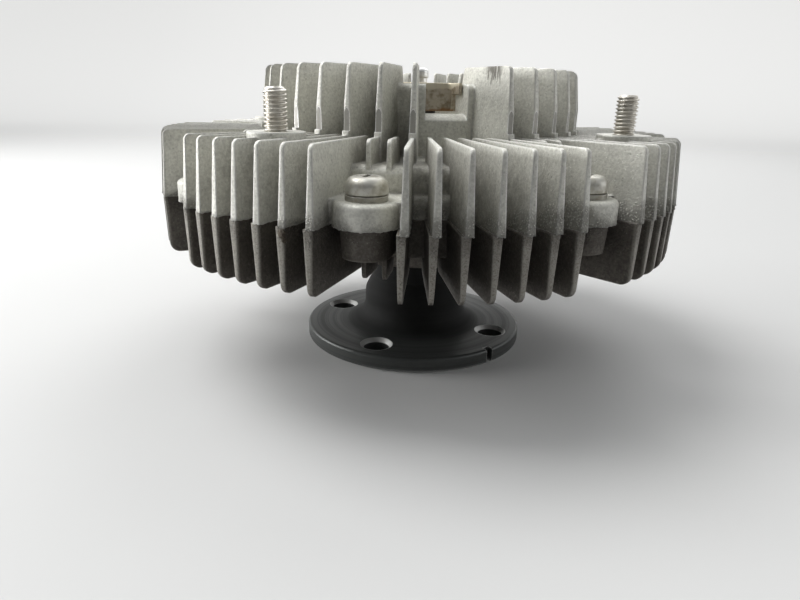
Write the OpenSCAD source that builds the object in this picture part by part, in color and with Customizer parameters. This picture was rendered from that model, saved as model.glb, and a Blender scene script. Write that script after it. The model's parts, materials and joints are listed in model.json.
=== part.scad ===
// Viscous fan clutch with a finned two-piece housing, a drive flange and a bimetal coil.
// Millimetres, +Z towards the fan side, the drive flange stands on z = 0.

/* [Drive flange and shaft] */
// Outside diameter of the drive flange
flange_d = 77.6; // [74:0.2:82]
// Thickness of the drive flange
flange_t = 5; // [4:0.5:6]
// Pitch circle of the flange bolts
bolt_pcd = 60; // [58:0.5:62]
// Diameter of the flange bolt holes
bolt_hole_d = 8.5; // [6.5:0.1:9]
// Clocking of the flange bolt holes
flange_turn = -23.5; // [-45:0.5:45]
// Diameter of the hub above the flange
hub_d = 35.6; // [34:0.2:37]
// Radius of the flare between hub and flange
hub_fillet_r = 8; // [4:0.5:8]
// Diameter of the locating recess under the flange
pilot_d = 22; // [18:0.5:26]
// Depth of the locating recess under the flange
pilot_depth = 8; // [6:0.5:10]

/* [Bearing] */
// Bore of the ball bearing
bearing_bore_d = 25; // [24:0.5:26]
// Outside diameter of the ball bearing
bearing_od = 47; // [46:0.5:50]
// Width of the ball bearing
bearing_w = 12; // [11:0.5:13]
// Diameter of the bearing balls
ball_d = 6.4; // [6:0.1:6.6]
// Number of bearing balls
ball_count = 10; // [8:1:10]

/* [Housing castings] */
// Height of the plane where the two castings meet
parting_z = 54.5; // [54:0.5:58]
// Radius of the clamped rim between the fins
body_r = 64.5; // [63.5:0.5:66]
// Reach of the screw lug centres beyond the rim
lug_reach = 8.5; // [8:0.25:9]
// Clocking of the fins about the axis
housing_turn = -91.73; // [-180:0.01:180]
// Number of lugs around the rim, with one group of fins between each two
sector_count = 8; // [6:2:8]

/* [Outer fins] */
// Reach of the fin tips beyond the rim at the parting plane
fin_reach = 19; // [17.5:0.5:21.5]
// Height of the front fins above the parting plane
front_fin_h = 18.9; // [18:0.1:20]
// Depth of the rear fins below the parting plane
rear_fin_h = 16.8; // [15:0.1:18]
// Fin thickness at the parting plane
fin_root_t = 2; // [1.8:0.1:2.6]
// Fin thickness at the free edge
fin_edge_t = 1; // [0.9:0.1:1.4]

/* [Fan seat and inner fins] */
// Diameter of the fan locating band on the inner fins
fan_pilot_d = 103; // [101:0.2:104]
// Height of the inner fins above the parting plane
inner_fin_h = 37.3; // [36:0.1:39]
// Height of the fan locating band
pilot_band_h = 6; // [4:0.5:7]
// Width of the window in the coil chamber wall, in degrees
window_deg = 21; // [16:1:22]

/* [Screws and studs] */
// Nominal diameter of the cover screws
screw_d = 6; // [5:0.5:6]
// Nominal diameter of the fan studs
stud_d = 6; // [5:0.5:8]
// Pitch circle of the fan studs
stud_pcd = 135.6; // [133:0.2:137]
// Length of the fan studs above their pads
stud_len = 10.6; // [9:0.2:16]

/* [Rotor and labyrinth] */
// Thickness of the rotor web
rotor_web_t = 4.8; // [4.2:0.2:5]
// Height of the labyrinth ridges
ridge_h = 3; // [2.4:0.2:3]
// Thickness of the labyrinth ridges
ridge_t = 1.5; // [1.2:0.1:1.6]
// Spacing of the labyrinth ridges
ridge_pitch = 4; // [4:0.1:4.2]
// Ridge rows on the front side of the rotor
front_rows = 3; // [2:1:3]
// Ridge rows on the rear side of the rotor
rear_rows = 5; // [3:1:6]

/* [Valve and bimetal coil] */
// Diameter of the valve shaft
valve_shaft_d = 6; // [5:0.5:7]
// Turns of the bimetal coil
coil_turns = 6; // [3:1:6]
// Spacing of the coil turns
coil_pitch = 3.1; // [2.6:0.1:3.1]
// Width of the coil strip
coil_w = 8; // [6:0.5:8]
// Thickness of the coil strip
coil_t = 1; // [0.7:0.1:1.2]

/* [Hidden] */
$fn = 96;
// Overlap of fused shapes and overshoot of cutting shapes
sink = 0.6;
over = 0.4;
// Clearance between moving neighbours and of running shafts
move_gap = 0.3;
run_gap = 0.05;

// Flange and shaft
flange_r = flange_d / 2;
flange_edge_r = 0.9;
bolt_count = 4;
hole_chamfer = 1.1;
notch_w = 2.6;
notch_depth = 2.2;
notch_turn = -48.5;
hub_r = hub_d / 2;
hub_top_z = flange_t + 12;
hub_taper_h = 5;
hub_round_r = 6;
pilot_chamfer = 1;
journal_r = bearing_bore_d / 2;
journal_step = 2.8;
neck_r = journal_r + journal_step;
rotor_seat_r = journal_r - 3;
thread_r = rotor_seat_r - 1.5;
shaft_end_chamfer = 0.8;

// Chamber stack, measured from the parting plane
axial_gap = 0.6;
chamber_mid_z = parting_z + 0.5;
chamber_half = rotor_web_t / 2 + ridge_h + axial_gap;
floor_z = chamber_mid_z - chamber_half;
ceiling_z = chamber_mid_z + chamber_half;
chamber_r = body_r - 6.5;
rotor_r = chamber_r - 2.5;
rotor_mid_z = chamber_mid_z;
web_bottom_z = rotor_mid_z - rotor_web_t / 2;
web_top_z = rotor_mid_z + rotor_web_t / 2;
ridge_first_r = rotor_r - ridge_t / 2;
rotor_hub_r = journal_r + 2.5;
rotor_hub_top_z = web_top_z - 1;
nut_h = 0.425 * thread_r;
nut_r = rotor_hub_r - 1;
rotor_hole_r = 2.5;
rotor_hole_count = 6;
rotor_hole_ring_r = rotor_hub_r + 6;

// Bearing
seat_r = bearing_od / 2;
lip_t = 2;
bearing_top_z = floor_z - lip_t;
bearing_bottom_z = bearing_top_z - bearing_w;
bearing_mid_z = bearing_top_z - bearing_w / 2;
ball_r = ball_d / 2;
pitch_r = (journal_r + seat_r) / 2;
groove_r = ball_r + move_gap;
race_t = (seat_r - journal_r) * 0.28;
inner_race_r = journal_r + race_t;
outer_race_r = seat_r - race_t;
race_chamfer = 0.7;
cage_t = 2.2;
cage_h = ball_d + 1.4;
shield_t = 0.6;
shield_inset = 0.4;
lip_r = outer_race_r + 0.6;
circlip_t = 1.5;
circlip_in = 1.6;
circlip_out = 1.5;
circlip_gap_deg = 34;
circlip_turn = 60;
circlip_ear_r = 2;
circlip_ear_deg = 3;
circlip_hole_r = 0.8;
boss_wall = 6.5;
boss_r = seat_r + boss_wall;
boss_end = 1.5;
boss_bottom_z = bearing_bottom_z - circlip_t - boss_end;
boss_fillet_r = 4;
boss_edge_r = 1.2;

// Rear casting
fin_tip_r = body_r + fin_reach;
disc_t = 4.5;
disc_bottom_z = floor_z - disc_t;
rear_top_z = parting_z + over / 2;
rear_turn = -0.45;
rear_fin_root_t = fin_root_t + 0.2;
rear_fin_edge_t = fin_edge_t;
rear_fin_z = parting_z - rear_fin_h;
rear_tip_r = fin_tip_r - 0.2;
rear_corner_tip_r = fin_tip_r - 0.5;
rear_corner_r = 2.8;
rear_inner_inset = 12.5;
rear_inner_r = body_r - rear_inner_inset;
rear_inner_foot = 5.5;
rear_inner_corner_r = 1.5;
rear_short_r = body_r - 1.5;
rear_lug_top_r = 6.5;
rear_lug_bottom_r = 5.9;
rear_lug_h = 7.8;
rear_foot_r = body_r - 1;

// Front casting
base_z = parting_z - over / 2;
ledge_h = 5.9;
ledge_z = parting_z + ledge_h;
ledge_edge_r = 1.8;
roof_t = 3;
shoulder_h = 12.5;
shoulder_z = parting_z + shoulder_h;
shoulder_r = body_r - 3.1;
shoulder_edge_r = 2.5;
front_fin_z = parting_z + front_fin_h;
front_corner_tip_r = fin_tip_r - 1.5;
front_corner_r = 1.6;
front_inner_r = 47;
front_inner_corner_r = 1.6;
front_short_r = shoulder_r - 0.4;
front_foot_r = shoulder_r - 1.2;
lug_r = 8.2;
lug_web_reach = 1.5;
lug_edge_r = 1.4;
screw_r = screw_d / 2;
screw_ring_r = body_r + lug_reach;
screw_hole_gap = 0.3;
fin_pitch = 360 / (sector_count * 9);
fins_per_sector = 9;
full_fins = 7;
sector_deg = 360 / sector_count;
lug_offset = -1.5 * fin_pitch;
lug_web_half = screw_ring_r * sin(1.5 * fin_pitch);
stud_offset = 3 * fin_pitch - sector_deg;
stud_count = sector_count / 2;
pad_r = 7.35;
pad_rise = 1.2;
pad_z = front_fin_z + pad_rise;
stud_r = stud_d / 2;
stud_core_r = 0.86 * stud_r;
stud_sink = 0.25 * stud_r;
stud_ring_r = stud_pcd / 2;
stud_depth = 15;
stud_chamfer = 0.8;

// Inner fins and coil chamber
inner_fin_count = sector_count * fins_per_sector / 2;
inner_fin_step = 2 * fin_pitch;
window_fins = 2;
inner_fin_z = parting_z + inner_fin_h;
inner_root_t = 2.3;
inner_edge_t = 1;
pilot_r = fan_pilot_d / 2;
pilot_lip = 0.8;
inner_foot_r = pilot_r + 1.6;
inner_tip_r = pilot_r - 1.4;
inner_corner_r = 1.8;
wall_r = 34.5;
wall_in_r = 26.5;
wall_z = inner_fin_z - 0.6 * coil_w;
wall_edge_r = 2;
chamber_floor_z = front_fin_z + 3.1;
boss_top_z = chamber_floor_z + 1.5;
sill_r = 5.2;
window_z = chamber_floor_z + 2.5;
window_mid = 1.5 * inner_fin_step;
inner_end_low_r = wall_in_r + 0.1;
inner_end_top_r = wall_in_r + 1.5;
valve_boss_r = 8;

// Reservoir behind the plate
plate_t = 1.2;
plate_inset = 17;
plate_r = chamber_r - plate_inset;
plate_top_z = ceiling_z + plate_t;
reservoir_r = plate_r - 4;
reservoir_z = shoulder_z - roof_t;
deep_r = 23.5;
deep_z = chamber_floor_z - 3.5;
inner_boss_r = 7;
inner_boss_z = deep_z - 4.5;
plate_screw_count = 6;
plate_screw_ring_r = plate_r - 2;
plate_screw_r = 1.2;
plate_screw_depth = 2.2;
plate_head_r = 1.8;
plate_head_h = 1;

// Seal between the castings
seal_w = 2.4;
seal_h = 1.8;
seal_mid_r = (chamber_r + body_r) / 2;
seal_chamfer = 0.5;

// Wiper that feeds oil back to the reservoir
wiper_in_r = rotor_r + 0.5;
wiper_h = 4.5;
wiper_deg = 12;
wiper_turn = 75;

// Screws
head_r = 0.86 * screw_d;
head_h = 0.72 * screw_d;
head_round_r = 0.4 * screw_d;
head_chamfer = 0.07 * screw_d;
recess_w = 0.2 * screw_d;
recess_len = 0.9 * screw_d;
recess_depth = 0.34 * screw_d;
washer_t = 1.3;
washer_in_r = screw_r + 0.2;
washer_slit_deg = 9;
washer_turn = 190;
screw_depth = 0.97 * screw_d;
screw_end_z = parting_z - screw_depth;

// Valve and coil
valve_r = valve_shaft_d / 2;
valve_bore_r = valve_r + run_gap;
valve_seal_t = 1.5;
valve_seal_h = 2;
valve_seal_z = deep_z - 1;
arm_lift = 0.4;
arm_t = 1;
arm_w = 8;
arm_hub_r = valve_r + 2.5;
arm_reach = 16.5;
arm_turn = 150;
arm_z = plate_top_z + arm_lift;
port_r = 2.6;
return_r = 1.4;
return_ring_r = reservoir_r - 3;
clip_t = 0.8;
clip_r = valve_r + 2.4;
clip_gap_deg = 80;
clip_z = boss_top_z + move_gap;
clip_groove = 0.5;
stem_r = valve_r - 0.7;
stem_z = clip_z + clip_t + 0.3;
slot_gap = 0.1;
coil_bottom_z = stem_z + slot_gap;
coil_top_z = coil_bottom_z + coil_w;
head_z = coil_top_z + 2;
valve_head_r = valve_r - 0.3;
valve_head_h = 2.9;
valve_head_round_r = 1.4;
coil_in_r = valve_r + 2;
coil_end_turn = window_mid + window_deg / 2 - 1.1 * coil_t - 0.15;
coil_tab_r = wall_in_r + 1.3 * coil_pitch;
coil_tab_h = 3.2;
tang_len = stem_r - 0.4;

function unit(v) = v / norm(v);

// Region to take away so that the corner p between the edges to a and b gets the radius r
module corner_cut(p, a, b, r) {
    u = unit(a - p);
    v = unit(b - p);
    half = acos(u * v) / 2;
    c = p + unit(u + v) * (r / sin(half));
    q1 = p + u * (r / tan(half));
    q2 = p + v * (r / tan(half));
    difference() {
        polygon([c, q1 + (q1 - c) * over, p + (p - c) * over, q2 + (q2 - c) * over]);
        translate(c)
            circle(r = r);
    }
}

// Radial slice of the 2-D profile (radius, height), thick at z_root and thin at z_edge
module fin(z_root, t_root, z_edge, t_edge) {
    slope = (t_edge - t_root) / (z_edge - z_root);
    way = z_edge > z_root ? over : -over;
    z_a = z_root - way;
    z_b = z_edge + way;
    t_a = t_root - slope * way;
    t_b = t_edge + slope * way;
    intersection() {
        rotate([90, 0, 0])
            linear_extrude(height = 2 * t_root, center = true)
                children();
        rotate([90, 0, 90])
            linear_extrude(height = fin_tip_r + over)
                polygon([[-t_a / 2, z_a], [t_a / 2, z_a], [t_b / 2, z_b], [-t_b / 2, z_b]]);
    }
}

// Copies the children at every lug, in the housing clocking
module at_lugs() {
    for (k = [0 : sector_count - 1])
        rotate([0, 0, housing_turn + lug_offset + k * sector_deg])
            translate([screw_ring_r, 0, 0])
                children();
}

// Copies the children at every fan stud
module at_studs() {
    for (k = [0 : stud_count - 1])
        rotate([0, 0, housing_turn + stud_offset + 2 * k * sector_deg])
            translate([stud_ring_r, 0, 0])
                children();
}

// Full ring between two radii and two heights
module ring(r_in, r_out, z_low, z_high) {
    rotate_extrude()
        translate([r_in, z_low])
            square([r_out - r_in, z_high - z_low]);
}

// Concentric ridges with half a pitch between rotor and housing rows
module ridges(rows, shift, z_low, z_high) {
    for (k = [0 : rows - 1]) {
        r = ridge_first_r - shift - k * ridge_pitch;
        ring(r - ridge_t / 2, r + ridge_t / 2, z_low, z_high);
    }
}

// Drive flange with hub, bearing journal, rotor seat and threaded end
module drive_shaft() {
    nut_top_z = rotor_hub_top_z + nut_h;
    hub_corner = [hub_r, hub_top_z];
    taper_end = [neck_r, hub_top_z + hub_taper_h];
    color([0.33, 0.33, 0.34])
    difference() {
        union() {
            rotate_extrude()
                difference() {
                    union() {
                        square([flange_r, flange_t]);
                        polygon([[0, 0], [hub_r, 0], hub_corner, taper_end, [0, hub_top_z + hub_taper_h]]);
                        square([neck_r, bearing_bottom_z]);
                        square([journal_r, bearing_top_z]);
                        square([rotor_seat_r, rotor_hub_top_z]);
                        difference() {
                            translate([hub_r - sink, flange_t - sink])
                                square([hub_fillet_r + sink, hub_fillet_r + sink]);
                            translate([hub_r + hub_fillet_r, flange_t + hub_fillet_r])
                                circle(r = hub_fillet_r);
                        }
                    }
                    corner_cut([flange_r, flange_t], [0, flange_t], [flange_r, 0], flange_edge_r);
                    corner_cut([flange_r, 0], [0, 0], [flange_r, flange_t], flange_edge_r);
                    corner_cut(hub_corner, taper_end, [hub_r, 0], hub_round_r);
                }
            cylinder(r = thread_r, h = nut_top_z);
            translate([0, 0, nut_top_z])
                cylinder(r1 = thread_r, r2 = thread_r - shaft_end_chamfer, h = shaft_end_chamfer);
        }
        translate([0, 0, -over])
            cylinder(r = pilot_d / 2, h = pilot_depth + over);
        translate([0, 0, -over])
            cylinder(r1 = pilot_d / 2 + pilot_chamfer + over, r2 = pilot_d / 2, h = pilot_chamfer + over);
        for (k = [0 : bolt_count - 1])
            rotate([0, 0, flange_turn + k * 360 / bolt_count])
                translate([bolt_pcd / 2, 0, 0]) {
                    translate([0, 0, -over])
                        cylinder(r = bolt_hole_d / 2, h = flange_t + hub_fillet_r);
                    translate([0, 0, flange_t - hole_chamfer])
                        cylinder(r1 = bolt_hole_d / 2, r2 = bolt_hole_d / 2 + hole_chamfer + over,
                                 h = hole_chamfer + over);
                }
        rotate([0, 0, notch_turn])
            translate([flange_r - notch_depth, -notch_w / 2, -over])
                cube([notch_depth + over, notch_w, flange_t + 2 * over]);
    }
}

// Inner ring of the ball bearing
module bearing_inner_race() {
    color([0.72, 0.73, 0.75])
    rotate_extrude()
        difference() {
            translate([journal_r, bearing_bottom_z])
                square([race_t, bearing_w]);
            translate([pitch_r, bearing_mid_z])
                circle(r = groove_r);
            corner_cut([journal_r, bearing_bottom_z], [inner_race_r, bearing_bottom_z],
                       [journal_r, bearing_top_z], race_chamfer);
            corner_cut([journal_r, bearing_top_z], [inner_race_r, bearing_top_z],
                       [journal_r, bearing_bottom_z], race_chamfer);
        }
}

// Outer ring of the ball bearing
module bearing_outer_race() {
    color([0.72, 0.73, 0.75])
    rotate_extrude()
        difference() {
            translate([outer_race_r, bearing_bottom_z])
                square([race_t, bearing_w]);
            translate([pitch_r, bearing_mid_z])
                circle(r = groove_r);
            corner_cut([seat_r, bearing_bottom_z], [outer_race_r, bearing_bottom_z],
                       [seat_r, bearing_top_z], race_chamfer);
            corner_cut([seat_r, bearing_top_z], [outer_race_r, bearing_top_z],
                       [seat_r, bearing_bottom_z], race_chamfer);
        }
}

// Balls on the pitch circle
module bearing_balls() {
    color([0.8, 0.81, 0.83])
    for (k = [0 : ball_count - 1])
        rotate([0, 0, k * 360 / ball_count])
            translate([pitch_r, 0, bearing_mid_z])
                sphere(r = ball_r);
}

// Ring with one pocket for each ball
module bearing_cage() {
    color([0.62, 0.5, 0.3])
    difference() {
        ring(pitch_r - cage_t / 2, pitch_r + cage_t / 2, bearing_mid_z - cage_h / 2, bearing_mid_z + cage_h / 2);
        bearing_balls();
    }
}

// Thin ring that closes one side of the bearing
module shield(z_low) {
    ring(inner_race_r + move_gap, outer_race_r, z_low, z_low + shield_t);
}

// Shields on both sides of the bearing
module bearing_shields() {
    color([0.5, 0.5, 0.52]) {
        shield(bearing_bottom_z + shield_inset);
        shield(bearing_top_z - shield_inset - shield_t);
    }
}

// Open ring with two eyes that keeps the bearing in its seat
module bearing_circlip() {
    arc = 360 - circlip_gap_deg;
    eye_ring_r = seat_r - circlip_in;
    color([0.3, 0.3, 0.31])
    rotate([0, 0, circlip_turn])
        translate([0, 0, bearing_bottom_z - circlip_t])
            difference() {
                union() {
                    rotate_extrude(angle = arc)
                        translate([seat_r - circlip_in, 0])
                            square([circlip_in + circlip_out, circlip_t]);
                    for (a = [circlip_ear_deg, arc - circlip_ear_deg])
                        rotate([0, 0, a])
                            translate([eye_ring_r, 0, 0])
                                cylinder(r = circlip_ear_r, h = circlip_t);
                }
                for (a = [circlip_ear_deg, arc - circlip_ear_deg])
                    rotate([0, 0, a])
                        translate([eye_ring_r, 0, -over])
                            cylinder(r = circlip_hole_r, h = circlip_t + 2 * over);
            }
}

// Disc on the shaft with ridges on both sides
module rotor() {
    color([0.66, 0.67, 0.68])
    difference() {
        union() {
            ring(rotor_seat_r, rotor_r, web_bottom_z, web_top_z);
            ring(rotor_seat_r, rotor_hub_r, bearing_top_z, web_top_z - sink);
            ridges(front_rows, 0, web_top_z - sink, web_top_z + ridge_h);
            ridges(rear_rows, 0, web_bottom_z - ridge_h, web_bottom_z + sink);
        }
        translate([0, 0, rotor_hub_top_z])
            cylinder(r = rotor_hub_r, h = web_top_z);
        for (k = [0 : rotor_hole_count - 1])
            rotate([0, 0, k * 360 / rotor_hole_count])
                translate([rotor_hole_ring_r, 0, web_bottom_z - ridge_h - over])
                    cylinder(r = rotor_hole_r, h = rotor_web_t + 2 * ridge_h + 2 * over);
    }
}

// Hexagon nut on the shaft end
module rotor_nut() {
    color([0.55, 0.56, 0.58])
    translate([0, 0, rotor_hub_top_z])
        difference() {
            intersection() {
                cylinder(r = nut_r, h = nut_h, $fn = 6);
                rotate_extrude()
                    difference() {
                        square([nut_r + over, nut_h]);
                        corner_cut([nut_r, nut_h], [0, nut_h], [nut_r, 0], shaft_end_chamfer);
                    }
            }
            translate([0, 0, -over])
                cylinder(r = thread_r, h = nut_h + 2 * over);
        }
}

// Radius and height profile of one rear fin out to the radii r_top and r_low
module rear_fin_profile(r_top, r_low) {
    foot_z = disc_bottom_z + disc_t / 2;
    top_corner = [r_top, rear_top_z];
    low_corner = [r_low, rear_fin_z];
    in_corner = [rear_inner_r, rear_fin_z];
    in_foot = [rear_inner_r - rear_inner_foot, foot_z];
    difference() {
        polygon([[rear_foot_r, rear_top_z], top_corner, low_corner, in_corner, in_foot, [rear_foot_r, foot_z]]);
        corner_cut(low_corner, top_corner, in_corner, rear_corner_r);
        corner_cut(in_corner, low_corner, in_foot, rear_inner_corner_r);
    }
}

// Cut-back rear fin over a lug
module rear_short_profile() {
    foot_z = disc_bottom_z + disc_t / 2;
    low_corner = [rear_short_r, rear_fin_z];
    in_corner = [rear_inner_r, rear_fin_z];
    in_foot = [rear_inner_r - rear_inner_foot, foot_z];
    difference() {
        polygon([[rear_short_r, foot_z], low_corner, in_corner, in_foot]);
        corner_cut(low_corner, [rear_short_r, foot_z], in_corner, rear_inner_corner_r);
        corner_cut(in_corner, low_corner, in_foot, rear_inner_corner_r);
    }
}

// Rear casting with bearing boss, labyrinth floor, lugs and fins
module rear_body() {
    seal_groove_r = seal_mid_r - seal_w / 2;
    color([0.62, 0.62, 0.6])
    difference() {
        union() {
            rotate_extrude()
                difference() {
                    union() {
                        translate([0, disc_bottom_z])
                            square([body_r, rear_top_z - disc_bottom_z]);
                        translate([0, boss_bottom_z])
                            square([boss_r, floor_z - boss_bottom_z]);
                        difference() {
                            translate([boss_r - sink, disc_bottom_z - boss_fillet_r])
                                square([boss_fillet_r + sink, boss_fillet_r + sink]);
                            translate([boss_r + boss_fillet_r, disc_bottom_z - boss_fillet_r])
                                circle(r = boss_fillet_r);
                        }
                    }
                    translate([0, floor_z])
                        square([chamber_r, parting_z - floor_z + over]);
                    translate([0, boss_bottom_z - over])
                        square([seat_r, bearing_top_z - boss_bottom_z + over]);
                    translate([0, boss_bottom_z])
                        square([lip_r, floor_z - boss_bottom_z + over]);
                    translate([0, bearing_bottom_z - circlip_t])
                        square([seat_r + circlip_out, circlip_t]);
                    translate([seal_groove_r, parting_z - seal_h])
                        square([seal_w, seal_h + over]);
                    corner_cut([boss_r, boss_bottom_z], [0, boss_bottom_z], [boss_r, floor_z], boss_edge_r);
                    corner_cut([body_r, disc_bottom_z], [0, disc_bottom_z], [body_r, parting_z], boss_edge_r);
                }
            ridges(rear_rows - 1, ridge_pitch / 2, floor_z - sink, floor_z + ridge_h);
            rotate([0, 0, housing_turn + rear_turn])
                for (k = [0 : sector_count - 1])
                    for (j = [0 : fins_per_sector - 1])
                        rotate([0, 0, k * sector_deg + j * fin_pitch])
                            fin(parting_z, rear_fin_root_t, rear_fin_z, rear_fin_edge_t)
                                if (j < full_fins)
                                    rear_fin_profile(rear_tip_r, rear_corner_tip_r);
                                else
                                    rear_short_profile();
            at_lugs() {
                translate([0, 0, parting_z - rear_lug_h])
                    cylinder(r1 = rear_lug_bottom_r, r2 = rear_lug_top_r, h = rear_lug_h + over / 2);
                translate([chamber_r + 2 * sink + seal_w * 2 - screw_ring_r, -rear_lug_bottom_r,
                           parting_z - rear_lug_h])
                    cube([screw_ring_r - chamber_r - 2 * sink - seal_w * 2, 2 * rear_lug_bottom_r,
                          rear_lug_h + over / 2]);
            }
        }
        translate([0, 0, parting_z])
            cylinder(r = fin_tip_r + over, h = over);
        at_lugs()
            translate([0, 0, screw_end_z])
                cylinder(r = screw_r, h = parting_z - screw_end_z + over);
    }
}

// Radius and height profile of one full front fin
module front_fin_profile() {
    foot_z = shoulder_z - roof_t / 2;
    root_corner = [fin_tip_r, base_z];
    top_corner = [front_corner_tip_r, front_fin_z];
    in_corner = [front_inner_r, front_fin_z];
    in_foot = [front_inner_r, foot_z];
    difference() {
        polygon([[front_foot_r, base_z], root_corner, top_corner, in_corner, in_foot, [front_foot_r, foot_z]]);
        corner_cut(top_corner, root_corner, in_corner, front_corner_r);
        corner_cut(in_corner, top_corner, in_foot, front_inner_corner_r);
    }
}

// Cut-back front fin over a lug
module front_short_profile() {
    foot_z = shoulder_z - roof_t / 2;
    out_foot = [front_short_r, foot_z];
    top_corner = [front_short_r, front_fin_z];
    in_corner = [front_inner_r, front_fin_z];
    in_foot = [front_inner_r, foot_z];
    difference() {
        polygon([out_foot, top_corner, in_corner, in_foot]);
        corner_cut(top_corner, out_foot, in_corner, front_corner_r);
        corner_cut(in_corner, top_corner, in_foot, front_inner_corner_r);
    }
}

// Tall inner fin with the machined fan locating band on its outer edge
module inner_fin_profile() {
    foot_z = shoulder_z - roof_t / 2;
    in_foot_r = (wall_r + wall_in_r) / 2;
    band_top = [pilot_r, pad_z + pilot_band_h];
    top_corner = [inner_tip_r, inner_fin_z];
    in_corner = [inner_end_top_r, inner_fin_z];
    in_low = [inner_end_low_r, wall_z - 2 * wall_edge_r];
    difference() {
        polygon([[in_foot_r, foot_z], [inner_foot_r, foot_z], [pilot_r + pilot_lip, pad_z], [pilot_r, pad_z],
                 band_top, top_corner, in_corner, in_low, [in_foot_r, wall_z - 2 * wall_edge_r]]);
        corner_cut(top_corner, band_top, in_corner, inner_corner_r);
        corner_cut(in_corner, top_corner, in_low, wall_edge_r / 2);
    }
}

// Wall of the coil chamber with a rounded rim
module wall_profile() {
    out_corner = [wall_r, wall_z];
    in_corner = [wall_in_r, wall_z];
    difference() {
        translate([wall_in_r, parting_z])
            square([wall_r - wall_in_r, wall_z - parting_z]);
        corner_cut(out_corner, in_corner, [wall_r, chamber_floor_z], wall_edge_r);
        corner_cut(in_corner, out_corner, [wall_in_r, chamber_floor_z], wall_edge_r);
    }
}

// Sector taken out of the coil chamber wall, with a domed sill left standing
module cover_window() {
    mid_r = (wall_r + wall_in_r) / 2;
    sill_drop = sill_r - sqrt(sill_r * sill_r - (wall_r - mid_r) * (wall_r - mid_r));
    rotate([0, 0, housing_turn + window_mid - window_deg / 2])
        rotate_extrude(angle = window_deg)
            difference() {
                translate([wall_in_r - sink, window_z - sill_drop - over])
                    square([wall_r - wall_in_r + 2 * sink, wall_z - window_z + sill_drop + 2 * over]);
                translate([mid_r, window_z - sill_r])
                    circle(r = sill_r);
            }
}

// Revolved shell of the front casting with labyrinth ceiling, reservoir, shaft bore and coil chamber
module cover_shell() {
    rotate_extrude()
        difference() {
            union() {
                translate([0, base_z])
                    square([body_r, ledge_z - base_z]);
                translate([0, base_z])
                    square([shoulder_r, shoulder_z - base_z]);
                translate([0, base_z])
                    square([wall_r, chamber_floor_z - base_z]);
                wall_profile();
                translate([0, base_z])
                    square([valve_boss_r, boss_top_z - base_z]);
            }
            difference() {
                translate([0, parting_z - over])
                    square([chamber_r, ceiling_z - parting_z + over]);
                for (k = [0 : front_rows - 2])
                    translate([ridge_first_r - ridge_pitch / 2 - k * ridge_pitch - ridge_t / 2,
                               ceiling_z - ridge_h])
                        square([ridge_t, ridge_h + over]);
            }
            translate([0, ceiling_z - over])
                square([plate_r, plate_t + over]);
            translate([0, ceiling_z])
                square([reservoir_r, reservoir_z - ceiling_z]);
            difference() {
                translate([0, ceiling_z])
                    square([deep_r, deep_z - ceiling_z]);
                translate([0, inner_boss_z])
                    square([inner_boss_r, boss_top_z]);
            }
            translate([0, ceiling_z])
                square([valve_bore_r, boss_top_z]);
            translate([0, valve_seal_z])
                square([valve_bore_r + valve_seal_t, valve_seal_h]);
            corner_cut([body_r, ledge_z], [0, ledge_z], [body_r, parting_z], ledge_edge_r);
            corner_cut([shoulder_r, shoulder_z], [0, shoulder_z], [shoulder_r, parting_z], shoulder_edge_r);
        }
}

// Ring of full and cut-back fins of the front casting
module cover_outer_fins() {
    for (k = [0 : sector_count - 1])
        for (j = [0 : fins_per_sector - 1])
            rotate([0, 0, housing_turn + k * sector_deg + j * fin_pitch])
                fin(parting_z, fin_root_t, front_fin_z, fin_edge_t)
                    if (j < full_fins)
                        front_fin_profile();
                    else
                        front_short_profile();
}

// Tall fins around the coil chamber, left out at the window
module cover_inner_fins() {
    for (i = [window_fins + 1 : inner_fin_count])
        rotate([0, 0, housing_turn + i * inner_fin_step])
            fin(shoulder_z, inner_root_t, inner_fin_z, inner_edge_t)
                inner_fin_profile();
}

// Screw lugs of the front casting, each with a web to the fins on both sides
module cover_lugs() {
    at_lugs() {
        rotate_extrude()
            difference() {
                translate([0, base_z])
                    square([lug_r, ledge_z - base_z]);
                corner_cut([lug_r, ledge_z], [0, ledge_z], [lug_r, parting_z], lug_edge_r);
            }
        translate([chamber_r + sink - screw_ring_r, -lug_web_half, base_z])
            cube([screw_ring_r - chamber_r - sink + lug_web_reach, 2 * lug_web_half, ledge_z - base_z]);
    }
}

// Pads that carry the fan studs
module cover_pads() {
    at_studs()
        translate([0, 0, base_z])
            cylinder(r = pad_r, h = pad_z - base_z);
}

// Screw, stud and plate screw holes of the front casting
module cover_holes() {
    at_lugs()
        translate([0, 0, parting_z - over])
            cylinder(r = screw_r + screw_hole_gap, h = ledge_h + 2 * over);
    at_studs()
        translate([0, 0, pad_z - stud_depth])
            cylinder(r = stud_core_r, h = stud_depth + over);
    at_studs()
        translate([0, 0, pad_z - stud_sink])
            cylinder(r1 = stud_core_r, r2 = stud_core_r + stud_sink + over, h = stud_sink + over);
    for (k = [0 : plate_screw_count - 1])
        rotate([0, 0, k * 360 / plate_screw_count])
            translate([plate_screw_ring_r, 0, plate_top_z - over])
                cylinder(r = plate_screw_r, h = plate_screw_depth + over);
}

// Front casting: shell with coil chamber, both fin rings, lugs and stud pads
module front_cover() {
    color([0.7, 0.69, 0.67])
    difference() {
        union() {
            cover_shell();
            cover_outer_fins();
            cover_inner_fins();
            cover_lugs();
            cover_pads();
        }
        translate([0, 0, parting_z - over])
            cylinder(r = fin_tip_r + over, h = over);
        cover_window();
        cover_holes();
    }
}

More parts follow.
